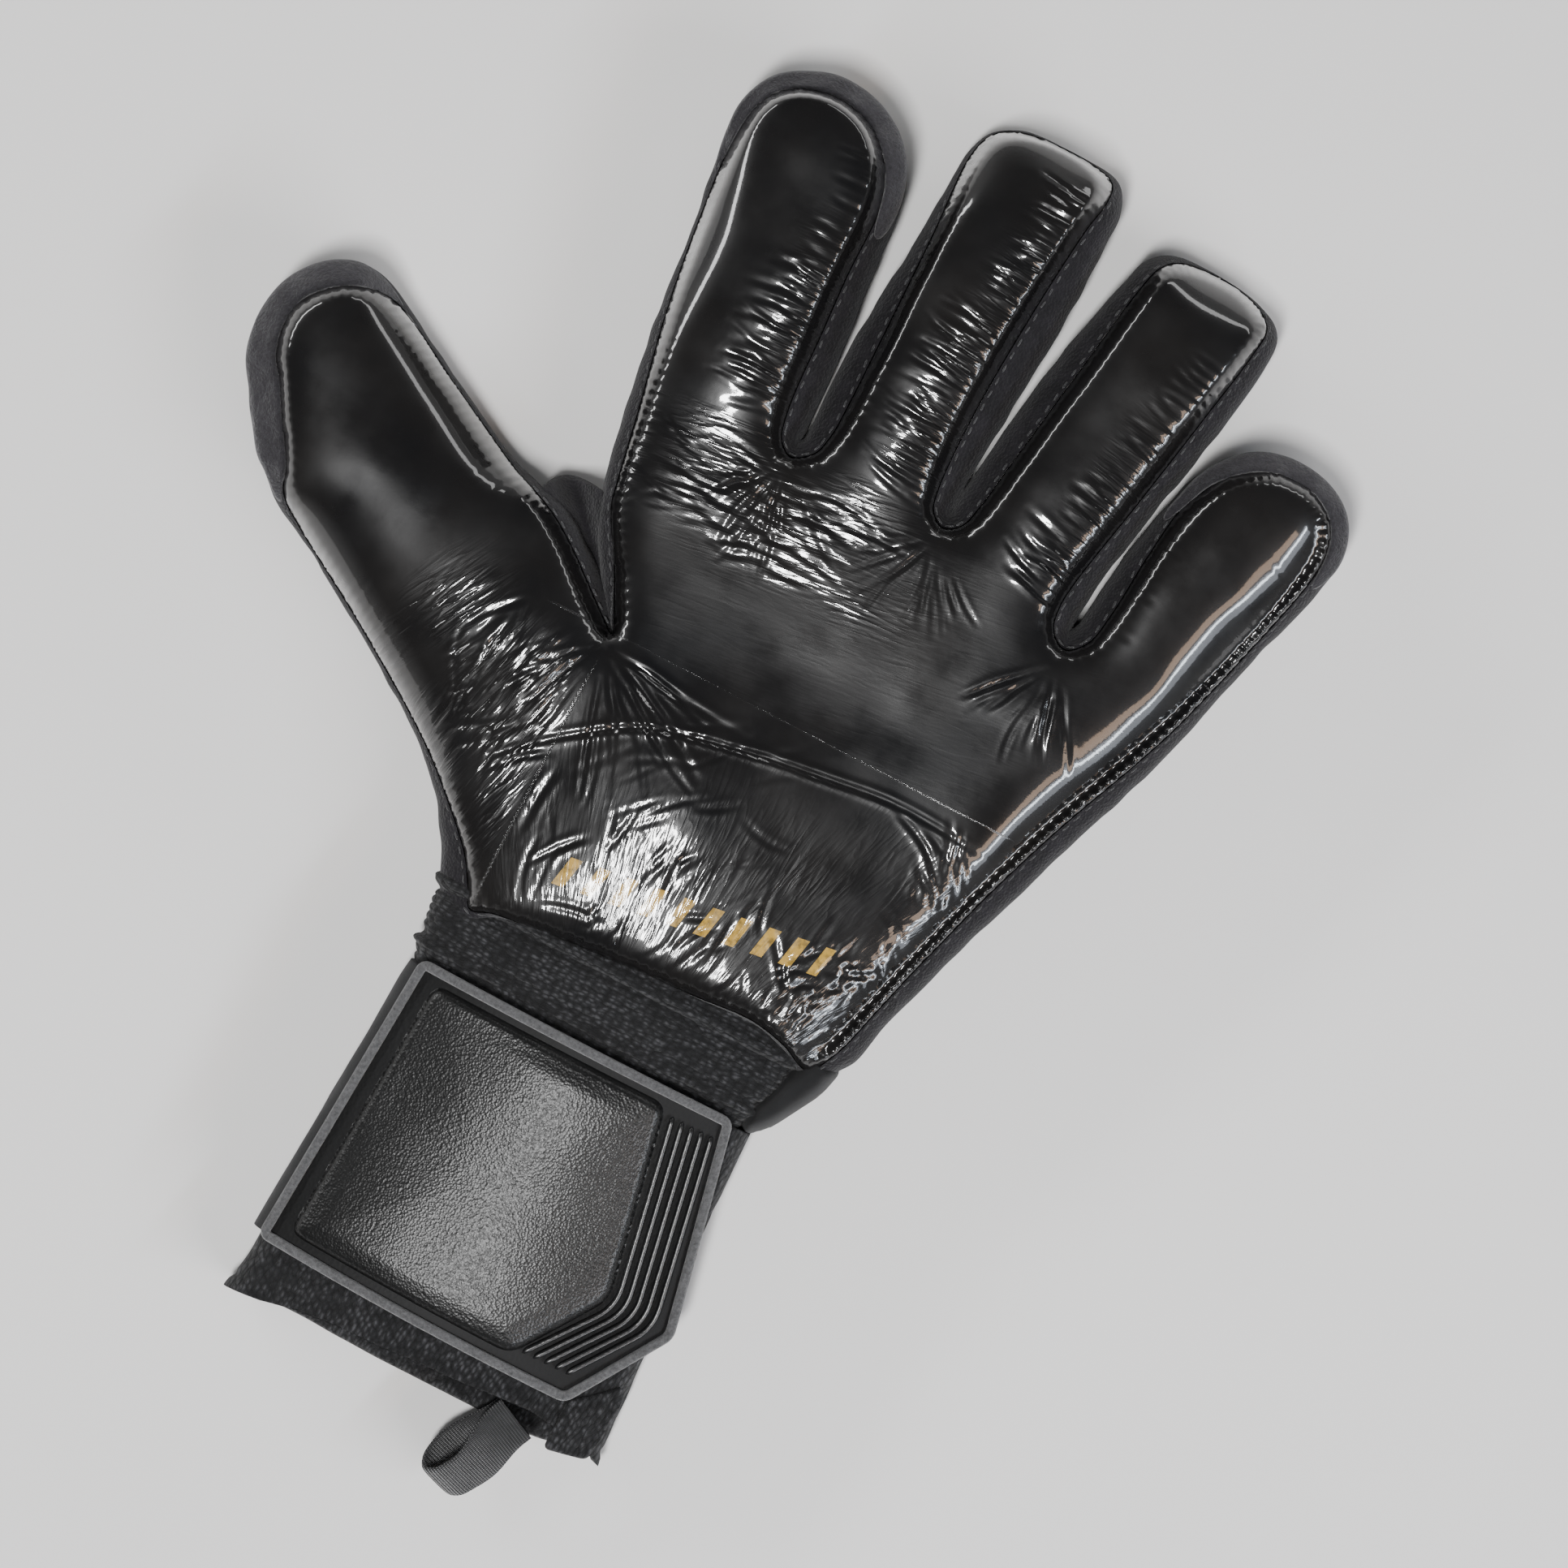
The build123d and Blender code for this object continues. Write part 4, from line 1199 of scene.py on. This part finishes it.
WEB_ROWS = 30
WEB_COLUMNS = 24
WEB_INDEX_EDGE = [(-35.2, 14.2), (-36.8, 17.6), (-40, 24.3), (-44.3, 32), (-48, 39.4)]
WEB_THUMB_EDGE = [(-35.2, 13.8), (-38.2, 16), (-44, 20.6), (-50.5, 25.6), (-63, 33)]
WEB_TOP = 20.3
WEB_BOW = 3.6  # how far its wide end bows out
WEB_DEPTH = (2.0, 7.0)  # of the fold at its point, and what it gains towards its wide end
WEB_KNOT = (-34.4, 13.2, 21.6)
WEB_KNOT_TURNS = (20, 80, 140)  # degrees


def build_web():
    """Folded triangle of fabric, deep in its middle, closed by a wall at its wide end."""
    index_edge = smooth_curve(WEB_INDEX_EDGE, 0.2, closed=False)
    thumb_edge = smooth_curve(WEB_THUMB_EDGE, 0.2, closed=False)
    t = np.linspace(0, 1, WEB_ROWS)
    left, right = (
        np.stack([np.interp(t, np.linspace(0, 1, len(edge)), edge[:, i]) for i in (0, 1)], 1)
        for edge in (index_edge, thumb_edge)
    )
    s = np.linspace(0, 1, WEB_COLUMNS)
    bow = WEB_BOW * np.outer(t**2, np.sin(np.pi * s))
    outward = unit((-0.72, 0.69))
    across = s[None, :, None]
    xy = left[:, None] * (1 - across) + right[:, None] * across + bow[..., None] * outward
    fold = np.sin(np.pi * s) ** 0.8
    crease_line = 1.3 * np.sin(3.2 * np.pi * s)
    z = WEB_TOP - np.outer(WEB_DEPTH[0] + WEB_DEPTH[1] * t, fold) + np.outer(t, crease_line)
    rows = [np.dstack([xy, z])]
    for drop in np.linspace(0.08, 1, 12):
        edge = xy[-1] + outward * (1.6 * math.sin(math.pi * drop**0.8) * np.sin(np.pi * s))[:, None]
        low = z[-1] + (SIDE_BOTTOM - z[-1]) * drop
        rows.append(np.dstack([edge[None], low[None]]))
    grid = np.concatenate(rows)
    points = grid.reshape(-1, 3)
    points[:, 2] += 0.35 * noise(points[:, :2], 5, 41)
    return points, grid_faces(len(grid), WEB_COLUMNS)


piece = smooth_piece("thumb_web_fabric", build_web(), SUEDE)
attach(piece, "gusset", ACROSS_WEB, "thumb_web_gusset")

knot_parts = []
for turn in np.radians(WEB_KNOT_TURNS):
    knot_parts.append(stitch(np.array(WEB_KNOT), np.array([math.cos(turn), math.sin(turn), 0])))
attach(new_piece("web_knot", *joined(knot_parts), THREAD), "gusset", "hand")

# ---- Wrist band, and the arch that it shares with the cuff ----

ARCH_X = -1.5
ARCH_RADIUS = 123.0
ARCH_CENTRE_Z = 25.0 - ARCH_RADIUS
CUFF_TOP_Y = -64.0
CUFF_FALL = 3.0  # how far the cuff's front sinks towards its end
CUFF_FALL_REACH = 40.0


def arch(x, y=CUFF_TOP_Y):
    """Height of the cuff's front, arched across the wrist and sinking towards its end."""
    sink = CUFF_FALL * (1 - np.exp(np.minimum(y - CUFF_TOP_Y, 0) / CUFF_FALL_REACH))
    return ARCH_CENTRE_Z + np.sqrt(ARCH_RADIUS**2 - (x - ARCH_X) ** 2) - sink


def tube_section(left, right, top, bottom, shoulder, count):
    """Closed flat-oval section in x and z, walked anticlockwise, even samples."""
    middle = 0.5 * (left + right)
    half = 0.5 * (right - left)
    fall = (arch(0.0) - arch(half)) * shoulder
    edge = 0.5 * (bottom + top - fall)
    upper = [(0, edge), (0.012, top - fall - 2.6), (0.07, top - 0.82 * fall - 0.3)]
    lower = [(0.015, bottom + 3.2), (0.10, bottom + 0.7), (0.4, bottom)]
    points = [(right - share * half, z) for share, z in upper]
    points += [(middle + k * half, top - fall * k * k) for k in (0.75, 0.4, 0, -0.4, -0.75)]
    points += [(left + share * half, z) for share, z in upper[::-1] + lower]
    points += [(right - share * half, z) for share, z in lower[::-1]]
    curve = smooth_curve(points, 0.4, closed=True)
    at = np.linspace(0, len(curve), count, endpoint=False)
    wrapped = np.vstack([curve, curve[:1]])
    return np.stack([np.interp(at, np.arange(len(wrapped)), wrapped[:, i]) for i in (0, 1)], 1)


BAND_COLUMNS = 420
BAND_START = -41.0
BAND_END = -68.0
BAND_STEP = 0.3
BAND_HAND_Y = -44.0
BAND_LENGTH = 20.0
BAND_UNDER = 1.6
BAND_SHAPE = [  # left, right, top, shoulder: at the hand's end, and what each gains by the cuff
    (-44.2, 3.4), (43.0, -6.6), (23.5, 1.7), (0.62, 0.25),
]
BAND_ROW_PITCH = 1.75
BAND_LOOP_PITCH = 7.0  # in columns
BAND_ROW_HEIGHT = 0.5
WELTS = [(-47.9, 1.3, -49.8), (-61.2, 1.2, -59.3)]  # y, height, y of the groove beside it
WELT_WIDTH = 0.8
GROOVE_DEPTH = 0.7
GROOVE_WIDTH = 0.6


def at_y(section, y):
    """Points in space of a section in x and z."""
    return np.stack([section[:, 0], np.broadcast_to(y, len(section)), section[:, 1]], 1)


def build_band():
    """Elastic tube of looped knit with a raised welt near each edge."""
    rows = []
    for y in np.arange(BAND_START, BAND_END, -BAND_STEP):
        t = (BAND_HAND_Y - y) / BAND_LENGTH
        left, right, top, shoulder = (start + gain * t for start, gain in BAND_SHAPE)
        section = tube_section(left, right, top, BAND_UNDER, shoulder, BAND_COLUMNS)
        around = np.arange(BAND_COLUMNS)
        out = right_normals(section)
        row = math.floor((y - BAND_START) / BAND_ROW_PITCH)
        beat = np.abs(math.sin(math.pi * (y - BAND_START) / BAND_ROW_PITCH))
        loops = 0.5 + 0.5 * np.sin(2 * math.pi * around / BAND_LOOP_PITCH + 2.2 * row)
        swell = BAND_ROW_HEIGHT * beat**0.6 * (0.4 + 0.6 * loops)
        for welt, height, groove in WELTS:
            swell = swell + height * bell(y - welt, WELT_WIDTH)
            swell = swell - GROOVE_DEPTH * bell(y - groove, GROOVE_WIDTH)
        swell = swell + 0.3 * noise(np.stack([around / 3.0, np.full(BAND_COLUMNS, y)], 1), 6, 51)
        section = section + out * swell[:, None]
        rows.append(at_y(section, y))
    points = np.vstack(rows)
    return points, grid_faces(len(rows), BAND_COLUMNS, wrap_columns=True)


piece = smooth_piece("wrist_band_knit", build_band(), KNIT)
attach(piece, "knit", ACROSS_WRIST, "wrist_band")

# ---- Puffed panels: flat goods with a soft rounded edge, on any base surface ----


def round_corners(points, radius, step, closed=True):
    """Even samples of a straight-sided line whose corners are rounded."""
    points = [np.asarray(p, float) for p in points]
    path = []
    last = len(points) - 1
    for k, corner in enumerate(points):
        if not closed and k in (0, last):
            path.append(corner)
            continue
        before, after = points[k - 1], points[(k + 1) % len(points)]
        reach = min(radius, 0.45 * np.linalg.norm(before - corner), 0.45 * np.linalg.norm(after - corner))
        a = corner + unit(before - corner) * reach
        b = corner + unit(after - corner) * reach
        for t in np.linspace(0, 1, 9):
            path.append((1 - t) ** 2 * a + 2 * t * (1 - t) * corner + t**2 * b)
    if closed:
        path.append(path[0])
    return even_samples(np.array(path), step, closed)


def is_clockwise(outline):
    ends = np.roll(outline, -1, 0)
    return np.sum(outline[:, 0] * ends[:, 1] - ends[:, 0] * outline[:, 1]) < 0


def panel(name, corners, base, material, thickness, edge, radius=1.5, step=1.0, detail=None, square=0.25):
    """Closed panel: base(xy) is its under surface, edge how far its rounding reaches in."""
    outline = round_corners(corners, radius, step)
    if is_clockwise(outline):
        outline = outline[::-1]
    xy, faces = fill_outline(outline, step)
    _, away = nearest_on(outline, xy)
    away[: len(outline)] = 0
    t = np.clip(away / edge, 0, 1)
    rounding = square + (1 - square) * np.sqrt(1 - (1 - t) ** 2)
    top = base(xy) + thickness * rounding
    if detail is not None:
        top = top + detail(xy, away)
    low = base(xy)
    count = len(xy)
    border = len(outline)
    k = np.arange(border)
    after = (k + 1) % border
    wall = np.vstack([np.stack([k, after, after + count], 1), np.stack([k, after + count, k + count], 1)])
    points = np.vstack([np.column_stack([xy, top]), np.column_stack([xy, low])])
    all_faces = np.vstack([faces, faces[:, ::-1] + count, wall[:, ::-1]])
    return new_piece(name, points, all_faces, material)


def tube_on(
    name, path, base, material, half_width, half_height, closed=False, power=2.6, count=16, ripple=0.0
):
    """Soft bar or tape lying along a line over a base surface."""
    samples = len(path)
    out = right_normals(path, closed)
    taper = np.ones(samples) if closed else end_taper(samples, 4)
    lane = np.column_stack([np.arange(samples), np.zeros(samples)])
    rings = []
    for u, v in oval(half_width, half_height, count, power):
        at = path + out * (u * taper)[:, None]
        wave = ripple * noise(lane + (0, 9 * u), 6, 61)
        rings.append(np.column_stack([at, base(path) + half_height + v * taper + wave]))
    points = np.stack(rings, 1).reshape(-1, 3)
    faces = grid_faces(samples, count, wrap_rows=closed, wrap_columns=True)
    return new_piece(name, points, faces, material)


def over_arch(height):
    return lambda xy: arch(xy[:, 0], xy[:, 1]) + height


# ---- Cuff ----

CUFF_TOP = -65.5
CUFF_END_Y = -144.0
CUFF_MIDDLE_Y = 0.5 * (CUFF_TOP_Y + CUFF_END_Y)
CUFF_LEFT = ((-39.3, CUFF_TOP_Y), (-44.0, CUFF_END_Y))
CUFF_RIGHT = ((38.5, CUFF_TOP_Y), (42.0, CUFF_END_Y))
CUFF_COLUMNS = 300
CUFF_ROWS = 150
CUFF_WALL = 2.4
CUFF_UNDER = 0.7
CUFF_SHOULDER = 0.92
INNER_ROWS = 40
INNER_SHARE = 0.45  # how far up the cuff its inner face ends
FRONT_HEM = [
    (-46, -145), (-36, -143.5), (-28, -141.2), (-15, -139.8), (0, -139), (15, -138), (25, -137.6),
    (38, -140), (43, -141.5),
]
BACK_HEM_Y = -145.3
BACK_HEM_RISE = 2.2  # towards the little-finger side
HEM_ROLL = 0.5
HEM_GROOVE = 0.35


def side_x(line, y):
    (x0, y0), (x1, y1) = line
    return x0 + (x1 - x0) * (y - y0) / (y1 - y0)


def blend_sections(first, middle, last, s):
    """Section at a share s of the length, on the parabola through three of them."""
    return first * (1 - s) * (1 - 2 * s) + middle * 4 * s * (1 - s) + last * s * (2 * s - 1)


def build_cuff():
    """Flared tube, open at its end, with a rolled hem and an inner face."""
    hem_x, hem_y = np.array(FRONT_HEM).T
    sections = {}
    for y in (CUFF_TOP, CUFF_MIDDLE_Y, CUFF_END_Y):
        left, right = side_x(CUFF_LEFT, y), side_x(CUFF_RIGHT, y)
        top = float(arch(ARCH_X, y))
        sections[y] = tube_section(left, right, top, CUFF_UNDER, CUFF_SHOULDER, CUFF_COLUMNS)
    first, middle, last = sections.values()
    front = smooth_step((last[:, 1] - 8) / 9)
    back_hem = BACK_HEM_Y + BACK_HEM_RISE * smooth_step((last[:, 0] - 26) / 14)
    end_y = np.interp(last[:, 0], hem_x, hem_y) * front + back_hem * (1 - front)
    end_y = end_y + 0.3 * noise(np.column_stack([last[:, 0], last[:, 1]]), 9, 71)
    tucked = first + (first.mean(0) - first) * 0.06
    rows = [at_y(tucked, CUFF_TOP)]
    depth = np.r_[np.linspace(0, 1, CUFF_ROWS), np.linspace(1, INNER_SHARE, INNER_ROWS)[1:]]
    inward = np.r_[np.zeros(CUFF_ROWS), np.ones(INNER_ROWS - 1)]
    for k, (s, inner) in enumerate(zip(depth, inward)):
        section = blend_sections(first, middle, last, s)
        out = right_normals(section)
        y = CUFF_TOP + (end_y - CUFF_TOP) * s
        lip = max(0.0, 1 - abs(k - CUFF_ROWS) / 3.0)
        swell = 0.35 * noise(np.column_stack([np.arange(CUFF_COLUMNS) / 2.0, y]), 8, 72)
        swell = swell + HEM_ROLL * bell(y - end_y - 1.2, 0.9) - HEM_GROOVE * bell(y - end_y - 3.0, 0.7)
        push = np.where(inner > 0, -CUFF_WALL, swell) + lip * 0.6
        if k == CUFF_ROWS:
            push = np.full(CUFF_COLUMNS, -0.5 * CUFF_WALL)
            y = y - 0.5
        section = section + out * push[:, None]
        section[:, 1] = np.maximum(section[:, 1], 0.25)
        rows.append(at_y(section, y))
    points = np.vstack(rows)
    return points, grid_faces(len(rows), CUFF_COLUMNS, wrap_columns=True)


piece = smooth_piece("cuff_shell", build_cuff(), TWILL)
attach(piece, "cuff", "cuff", "cuff_front_panel", "cuff_back_panel", "cuff_side_bands")


def flap_detail(xy, away):
    return 0.5 * noise(xy, 4, 81) - 0.4 * bell(away - 1.6, 0.4)


FLAP = [(30.5, -132), (35, -128.5), (39.4, -124.5), (41, -128), (40, -141.8), (30.5, -143.4)]
piece = panel(
    "cuff_flap", FLAP, over_arch(0.4), TWILL, thickness=1.3, edge=0.9, step=0.6, detail=flap_detail
)
attach(piece, "cuff", "cuff", "cuff_end_flap")

LOOP_PATCH = [(4, -70), (31, -70), (36.5, -106), (27, -120), (4, -120)]
piece = panel("cuff_loop_patch", LOOP_PATCH, over_arch(0.15), HOOK, thickness=0.85, edge=0.6)
attach(piece, "hook_loop", "cuff", "loop_patch")

ROOT_FOLD = [(0.2, 8.0), (-0.9, 11.0), (-1.5, 14.5), (-1.5, 17.5), (-0.8, 20.2), (0.8, 21.9), (3.2, 22.6)]
ROOT_TOP = np.array([-38.9, -65.5])
ROOT_END = np.array([-42.5, -130.0])
ROOT_ROWS = 110
ROOT_THICKNESS = 1.5


def build_root():
    """Fold of the strap round the thumb side of the cuff: x from the strap's edge, z, along y."""
    fold = smooth_curve(ROOT_FOLD, 0.45, closed=False)
    half = 0.5 * ROOT_THICKNESS * right_normals(fold, closed=False)
    loop = np.vstack([fold - half, (fold + half)[::-1]])
    count = len(loop)
    rows = []
    for t in np.linspace(0, 1, ROOT_ROWS):
        x, y = ROOT_TOP + (ROOT_END - ROOT_TOP) * t
        sink = float(arch(x, ROOT_TOP[1]) - arch(x, y)) + float(arch(ROOT_TOP[0]) - arch(x))
        share = smooth_step((loop[:, 1] - 8) / 14)
        wave = 0.35 * noise(np.column_stack([np.full(count, y), loop[:, 1]]), 7, 75)
        rows.append(np.column_stack([x + loop[:, 0] - wave, np.full(count, y), loop[:, 1] - sink * share]))
    caps = [rows[0] * 0.4 + rows[0].mean(0) * 0.6, *rows, rows[-1] * 0.4 + rows[-1].mean(0) * 0.6]
    return np.vstack(caps), grid_faces(len(caps), count, wrap_columns=True)


piece = smooth_piece("strap_root_fold", build_root(), SMOOTH)
attach(piece, "cuff", ACROSS_STRAP_FOLD, "strap_root")

# ---- Closure strap ----

STRAP = [(-38.6, -64), (34, -64), (44, -110.5), (30, -132), (-42.6, -131)]
STRAP_UNDER = 2.3
STRAP_THICKNESS = 1.6
STRAP_TOP = STRAP_UNDER + STRAP_THICKNESS
TAPE_WIDTH = 2.1
PAD = [(-33.8, -67.2), (20.4, -67.2), (28.6, -109), (15.4, -128.2), (-37.2, -127.4)]
RIB_LINE = [(22.6, -68.3), (30.4, -109.6), (17.4, -127.2)]
RIB_COUNT = 5
RIB_PITCH = 2.25
RIB_DROP = 0.08  # each rib's corner sits a little lower than the last one's
RIB_SPREAD = 1.12  # and its foot a little further out

piece = panel(
    "strap_base_panel", STRAP, over_arch(STRAP_UNDER), BASE_RUBBER, STRAP_THICKNESS, edge=0.7, step=0.9
)
attach(piece, "strap", "strap", "strap_base")

HOOK_PATCH = [(8, -72), (30, -72), (35.5, -106), (25.5, -118.5), (8, -118.5)]
piece = panel("strap_hook_patch", HOOK_PATCH, over_arch(STRAP_UNDER - 1.0), HOOK, thickness=1.0, edge=0.5)
attach(piece, "hook_loop", "strap", "hook_patch")

PAD_CREST = (2, -76)
PAD_CREST_REACH = (19, 15)
PAD_CREST_HEIGHT = 1.1
PAD_RISE = 0.035  # slope of the pad's lower part
PAD_RISE_Y = -97


def pad_detail(xy, away):
    """Gentle unevenness of the pad, with a crest near its upper edge."""
    dimple = 0.10 * noise(xy, 9, 92) + 0.15 * noise(xy, 24, 93)
    crest = PAD_CREST_HEIGHT * np.exp(-(((xy - PAD_CREST) / PAD_CREST_REACH) ** 2).sum(1))
    level = PAD_RISE * np.clip(PAD_RISE_Y - xy[:, 1], 0, 30)
    return (dimple + crest + level) * smooth_step(away / 6) + 0.5 * smooth_step(away / 26)


PAD_FILL = 0.9
piece = panel(
    "strap_pad_panel", PAD, over_arch(STRAP_TOP - 0.2), PAD_RUBBER, thickness=3.0, edge=1.9,
    radius=3.2, step=0.6, detail=pad_detail, square=0.0,
)
attach(piece, "strap", "strap", "strap_pad", fill=PAD_FILL)


def inset(corners, amount):
    """Corners of a convex outline moved inward by the same distance on every side."""
    corners = np.asarray(corners, float)
    if is_clockwise(corners):
        corners = corners[::-1]
    ahead = np.roll(corners, -1, 0) - corners
    ahead /= np.linalg.norm(ahead, axis=1)[:, None]
    inward = np.stack([-ahead[:, 1], ahead[:, 0]], 1)
    moved = []
    for k in range(len(corners)):
        a, b = inward[k - 1], inward[k]
        moved.append(corners[k] + amount * (a + b) / (1 + a @ b))
    return np.array(moved)


tape_path = round_corners(inset(STRAP, 0.5 * TAPE_WIDTH - 0.25), 1.5, 0.4)
piece = tube_on(
    "strap_tape", tape_path, over_arch(STRAP_TOP - 0.7), TAPE, 0.5 * TAPE_WIDTH, half_height=1.15,
    closed=True, power=3.2, count=20, ripple=0.12,
)
attach(piece, "tape", "strap", "strap_edge_tape")

for count in range(RIB_COUNT):
    top, corner, foot = RIB_LINE
    step = count * RIB_PITCH
    line = [
        (top[0] + step, top[1] - 0.6),
        (corner[0] + step, corner[1] - RIB_DROP * step),
        (foot[0] + RIB_SPREAD * step, foot[1] + 0.5),
    ]
    path = round_corners(line, 4.5, 0.5, closed=False)
    rib_base = over_arch(STRAP_TOP - 0.15)
    rib = tube_on(f"strap_rib_{count}", path, rib_base, RIB_RUBBER, half_width=0.62, half_height=0.85)
    attach(rib, "strap", "strap", "strap_ribs")

# ---- Pull loop ----

LOOP_ROOT = np.array([22.0, -143.0, 5.3])
LOOP_LEAN = math.radians(205)
LOOP_ALONG = np.array([math.sin(LOOP_LEAN), math.cos(LOOP_LEAN), 0])
LOOP_ACROSS = np.array([math.cos(LOOP_LEAN), -math.sin(LOOP_LEAN), 0])
LOOP_MIDDLE = 4.2
LOOP_TWIST = math.radians(38)
LOOP_PATH = [
    (-2, 8.6), (2, 8.7), (8, 8.9), (13.5, 8.3), (17.8, 7.1), (19.6, 4.6), (18.2, 1.6), (13.5, -0.4),
    (8, -0.2), (2, 0.4), (-1, 0.8),
]
LOOP_HALF_WIDTH = 5.2
LOOP_HALF_THICKNESS = 0.75
LOOP_COLUMNS = 28


def build_loop():
    """Woven ribbon folded on itself and slightly twisted."""
    side = smooth_curve(LOOP_PATH, 0.4, closed=False)
    twist = LOOP_TWIST * smooth_step(side[:, 0] / 14)
    rings = []
    out = right_normals(side, closed=False)
    for u, v in oval(LOOP_HALF_WIDTH, LOOP_HALF_THICKNESS, LOOP_COLUMNS, 3.4):
        along, rise = (side - out * v).T
        rise = rise - LOOP_MIDDLE
        across = u * np.cos(twist) - rise * np.sin(twist)
        at = LOOP_ROOT + np.outer(along, LOOP_ALONG) + np.outer(across, LOOP_ACROSS)
        at[:, 2] += LOOP_MIDDLE + u * np.sin(twist) + rise * np.cos(twist)
        rings.append(at)
    points = np.stack(rings, 1).reshape(-1, 3)
    return points, grid_faces(len(side), LOOP_COLUMNS, wrap_columns=True)[:, ::-1]


attach(smooth_piece("pull_ribbon", build_loop(), RIBBON), "ribbon", "pull_loop", "pull_loop")

# ---- Gore at the wrist, on the little-finger side ----

GORE = [
    (42.2, -43.5), (50.2, -45.0), (48.6, -51.8), (42.4, -62.8), (37.2, -67.6), (34.6, -63), (38.5, -52),
]
GORE_LOW = 4.0
GORE_FILL = 0.5


def gore_base(xy):
    return np.full(len(xy), GORE_LOW)


def gore_detail(xy, away):
    return 0.5 * noise(xy, 5, 95) * smooth_step(away / 2)


piece = panel(
    "wrist_gore", GORE, gore_base, SMOOTH, thickness=15.5, edge=3.4,
    radius=2.5, step=0.6, detail=gore_detail, square=0.2,
)
attach(piece, "knit", ACROSS_WRIST, "wrist_side_gore", fill=GORE_FILL)

# ---- Floor, lights, camera ----

PHOTO_TURN = math.radians(27.5)
PHOTO_WIDTH = 328.4  # of the picture, at the glove
PHOTO_CENTRE = (11.2, 2.8)
PHOTO_LEVEL = 15.0  # height that the picture's width is measured at
LENS = 100.0
SENSOR = 36.0
FLOOR_SIZE = 4.4  # metres
FLOOR_DROP = 0.0002
LIGHTS = [  # place and size in metres, power in watts, colour
    ("window", (-0.02, -0.36, 1.38), (0.13, 0.34), 24, (1, 1, 1)),
    ("right_strip", (1.05, -0.30, 0.80), (1.2, 0.06), 9, (0.84, 0.92, 1.0)),
    ("right_halo", (1.10, -0.32, 0.76), (1.2, 0.30), 5, (0.84, 0.90, 1.0)),
    ("right_glow", (1.00, -0.30, 1.02), (0.9, 0.16), 3, (1.0, 0.70, 0.50)),
    ("left_strip", (-1.2, 0.3, 0.5), (1.0, 0.14), 9, (1, 1, 1)),
    ("far_edge", (0.3, 1.5, 0.55), (1.2, 0.18), 4, (1, 1, 1)),
]


def add_floor():
    bpy.ops.mesh.primitive_plane_add(size=FLOOR_SIZE, location=(0, 0, -FLOOR_DROP))
    floor = bpy.context.object
    floor.name = "floor"
    floor.data.materials.append(floor_material())


def add_light(name, place, size, power, color):
    """Area light that faces the glove."""
    light = bpy.data.lights.new(name, "AREA")
    light.shape = "RECTANGLE"
    light.size, light.size_y = size
    light.energy = power
    light.color = color
    lamp = bpy.data.objects.new(name, light)
    lamp.location = place
    lamp.rotation_euler = (-Vector(place)).to_track_quat("-Z", "Y").to_euler()
    bpy.context.scene.collection.objects.link(lamp)


def add_camera():
    camera = bpy.data.cameras.new("camera")
    camera.lens = LENS
    camera.sensor_width = SENSOR
    camera.clip_start = 0.01
    eye = bpy.data.objects.new("camera", camera)
    height = PHOTO_LEVEL + PHOTO_WIDTH * LENS / SENSOR
    eye.location = (PHOTO_CENTRE[0] * MM, PHOTO_CENTRE[1] * MM, height * MM)
    eye.rotation_euler = (0, 0, PHOTO_TURN)
    bpy.context.scene.collection.objects.link(eye)
    bpy.context.scene.camera = eye


def add_world():
    """Dim room: pale low down, where only steep edges mirror it, and dark overhead."""
    world = bpy.data.worlds.new("studio")
    bpy.context.scene.world = world
    world.use_nodes = True
    tree = world.node_tree
    background = tree.nodes["Background"]
    background.inputs["Strength"].default_value = 1.0
    coordinates = tree.nodes.new("ShaderNodeTexCoord")
    split = tree.nodes.new("ShaderNodeSeparateXYZ")
    ramp = tree.nodes.new("ShaderNodeValToRGB")
    low, high = ramp.color_ramp.elements
    low.position, low.color = 0.06, (0.42, 0.42, 0.42, 1)
    high.position, high.color = 0.42, (0.055, 0.058, 0.062, 1)
    tree.links.new(coordinates.outputs["Generated"], split.inputs["Vector"])
    tree.links.new(split.outputs["Z"], ramp.inputs["Fac"])
    tree.links.new(ramp.outputs["Color"], background.inputs["Color"])


add_floor()
for row in LIGHTS:
    add_light(*row)
add_world()
add_camera()
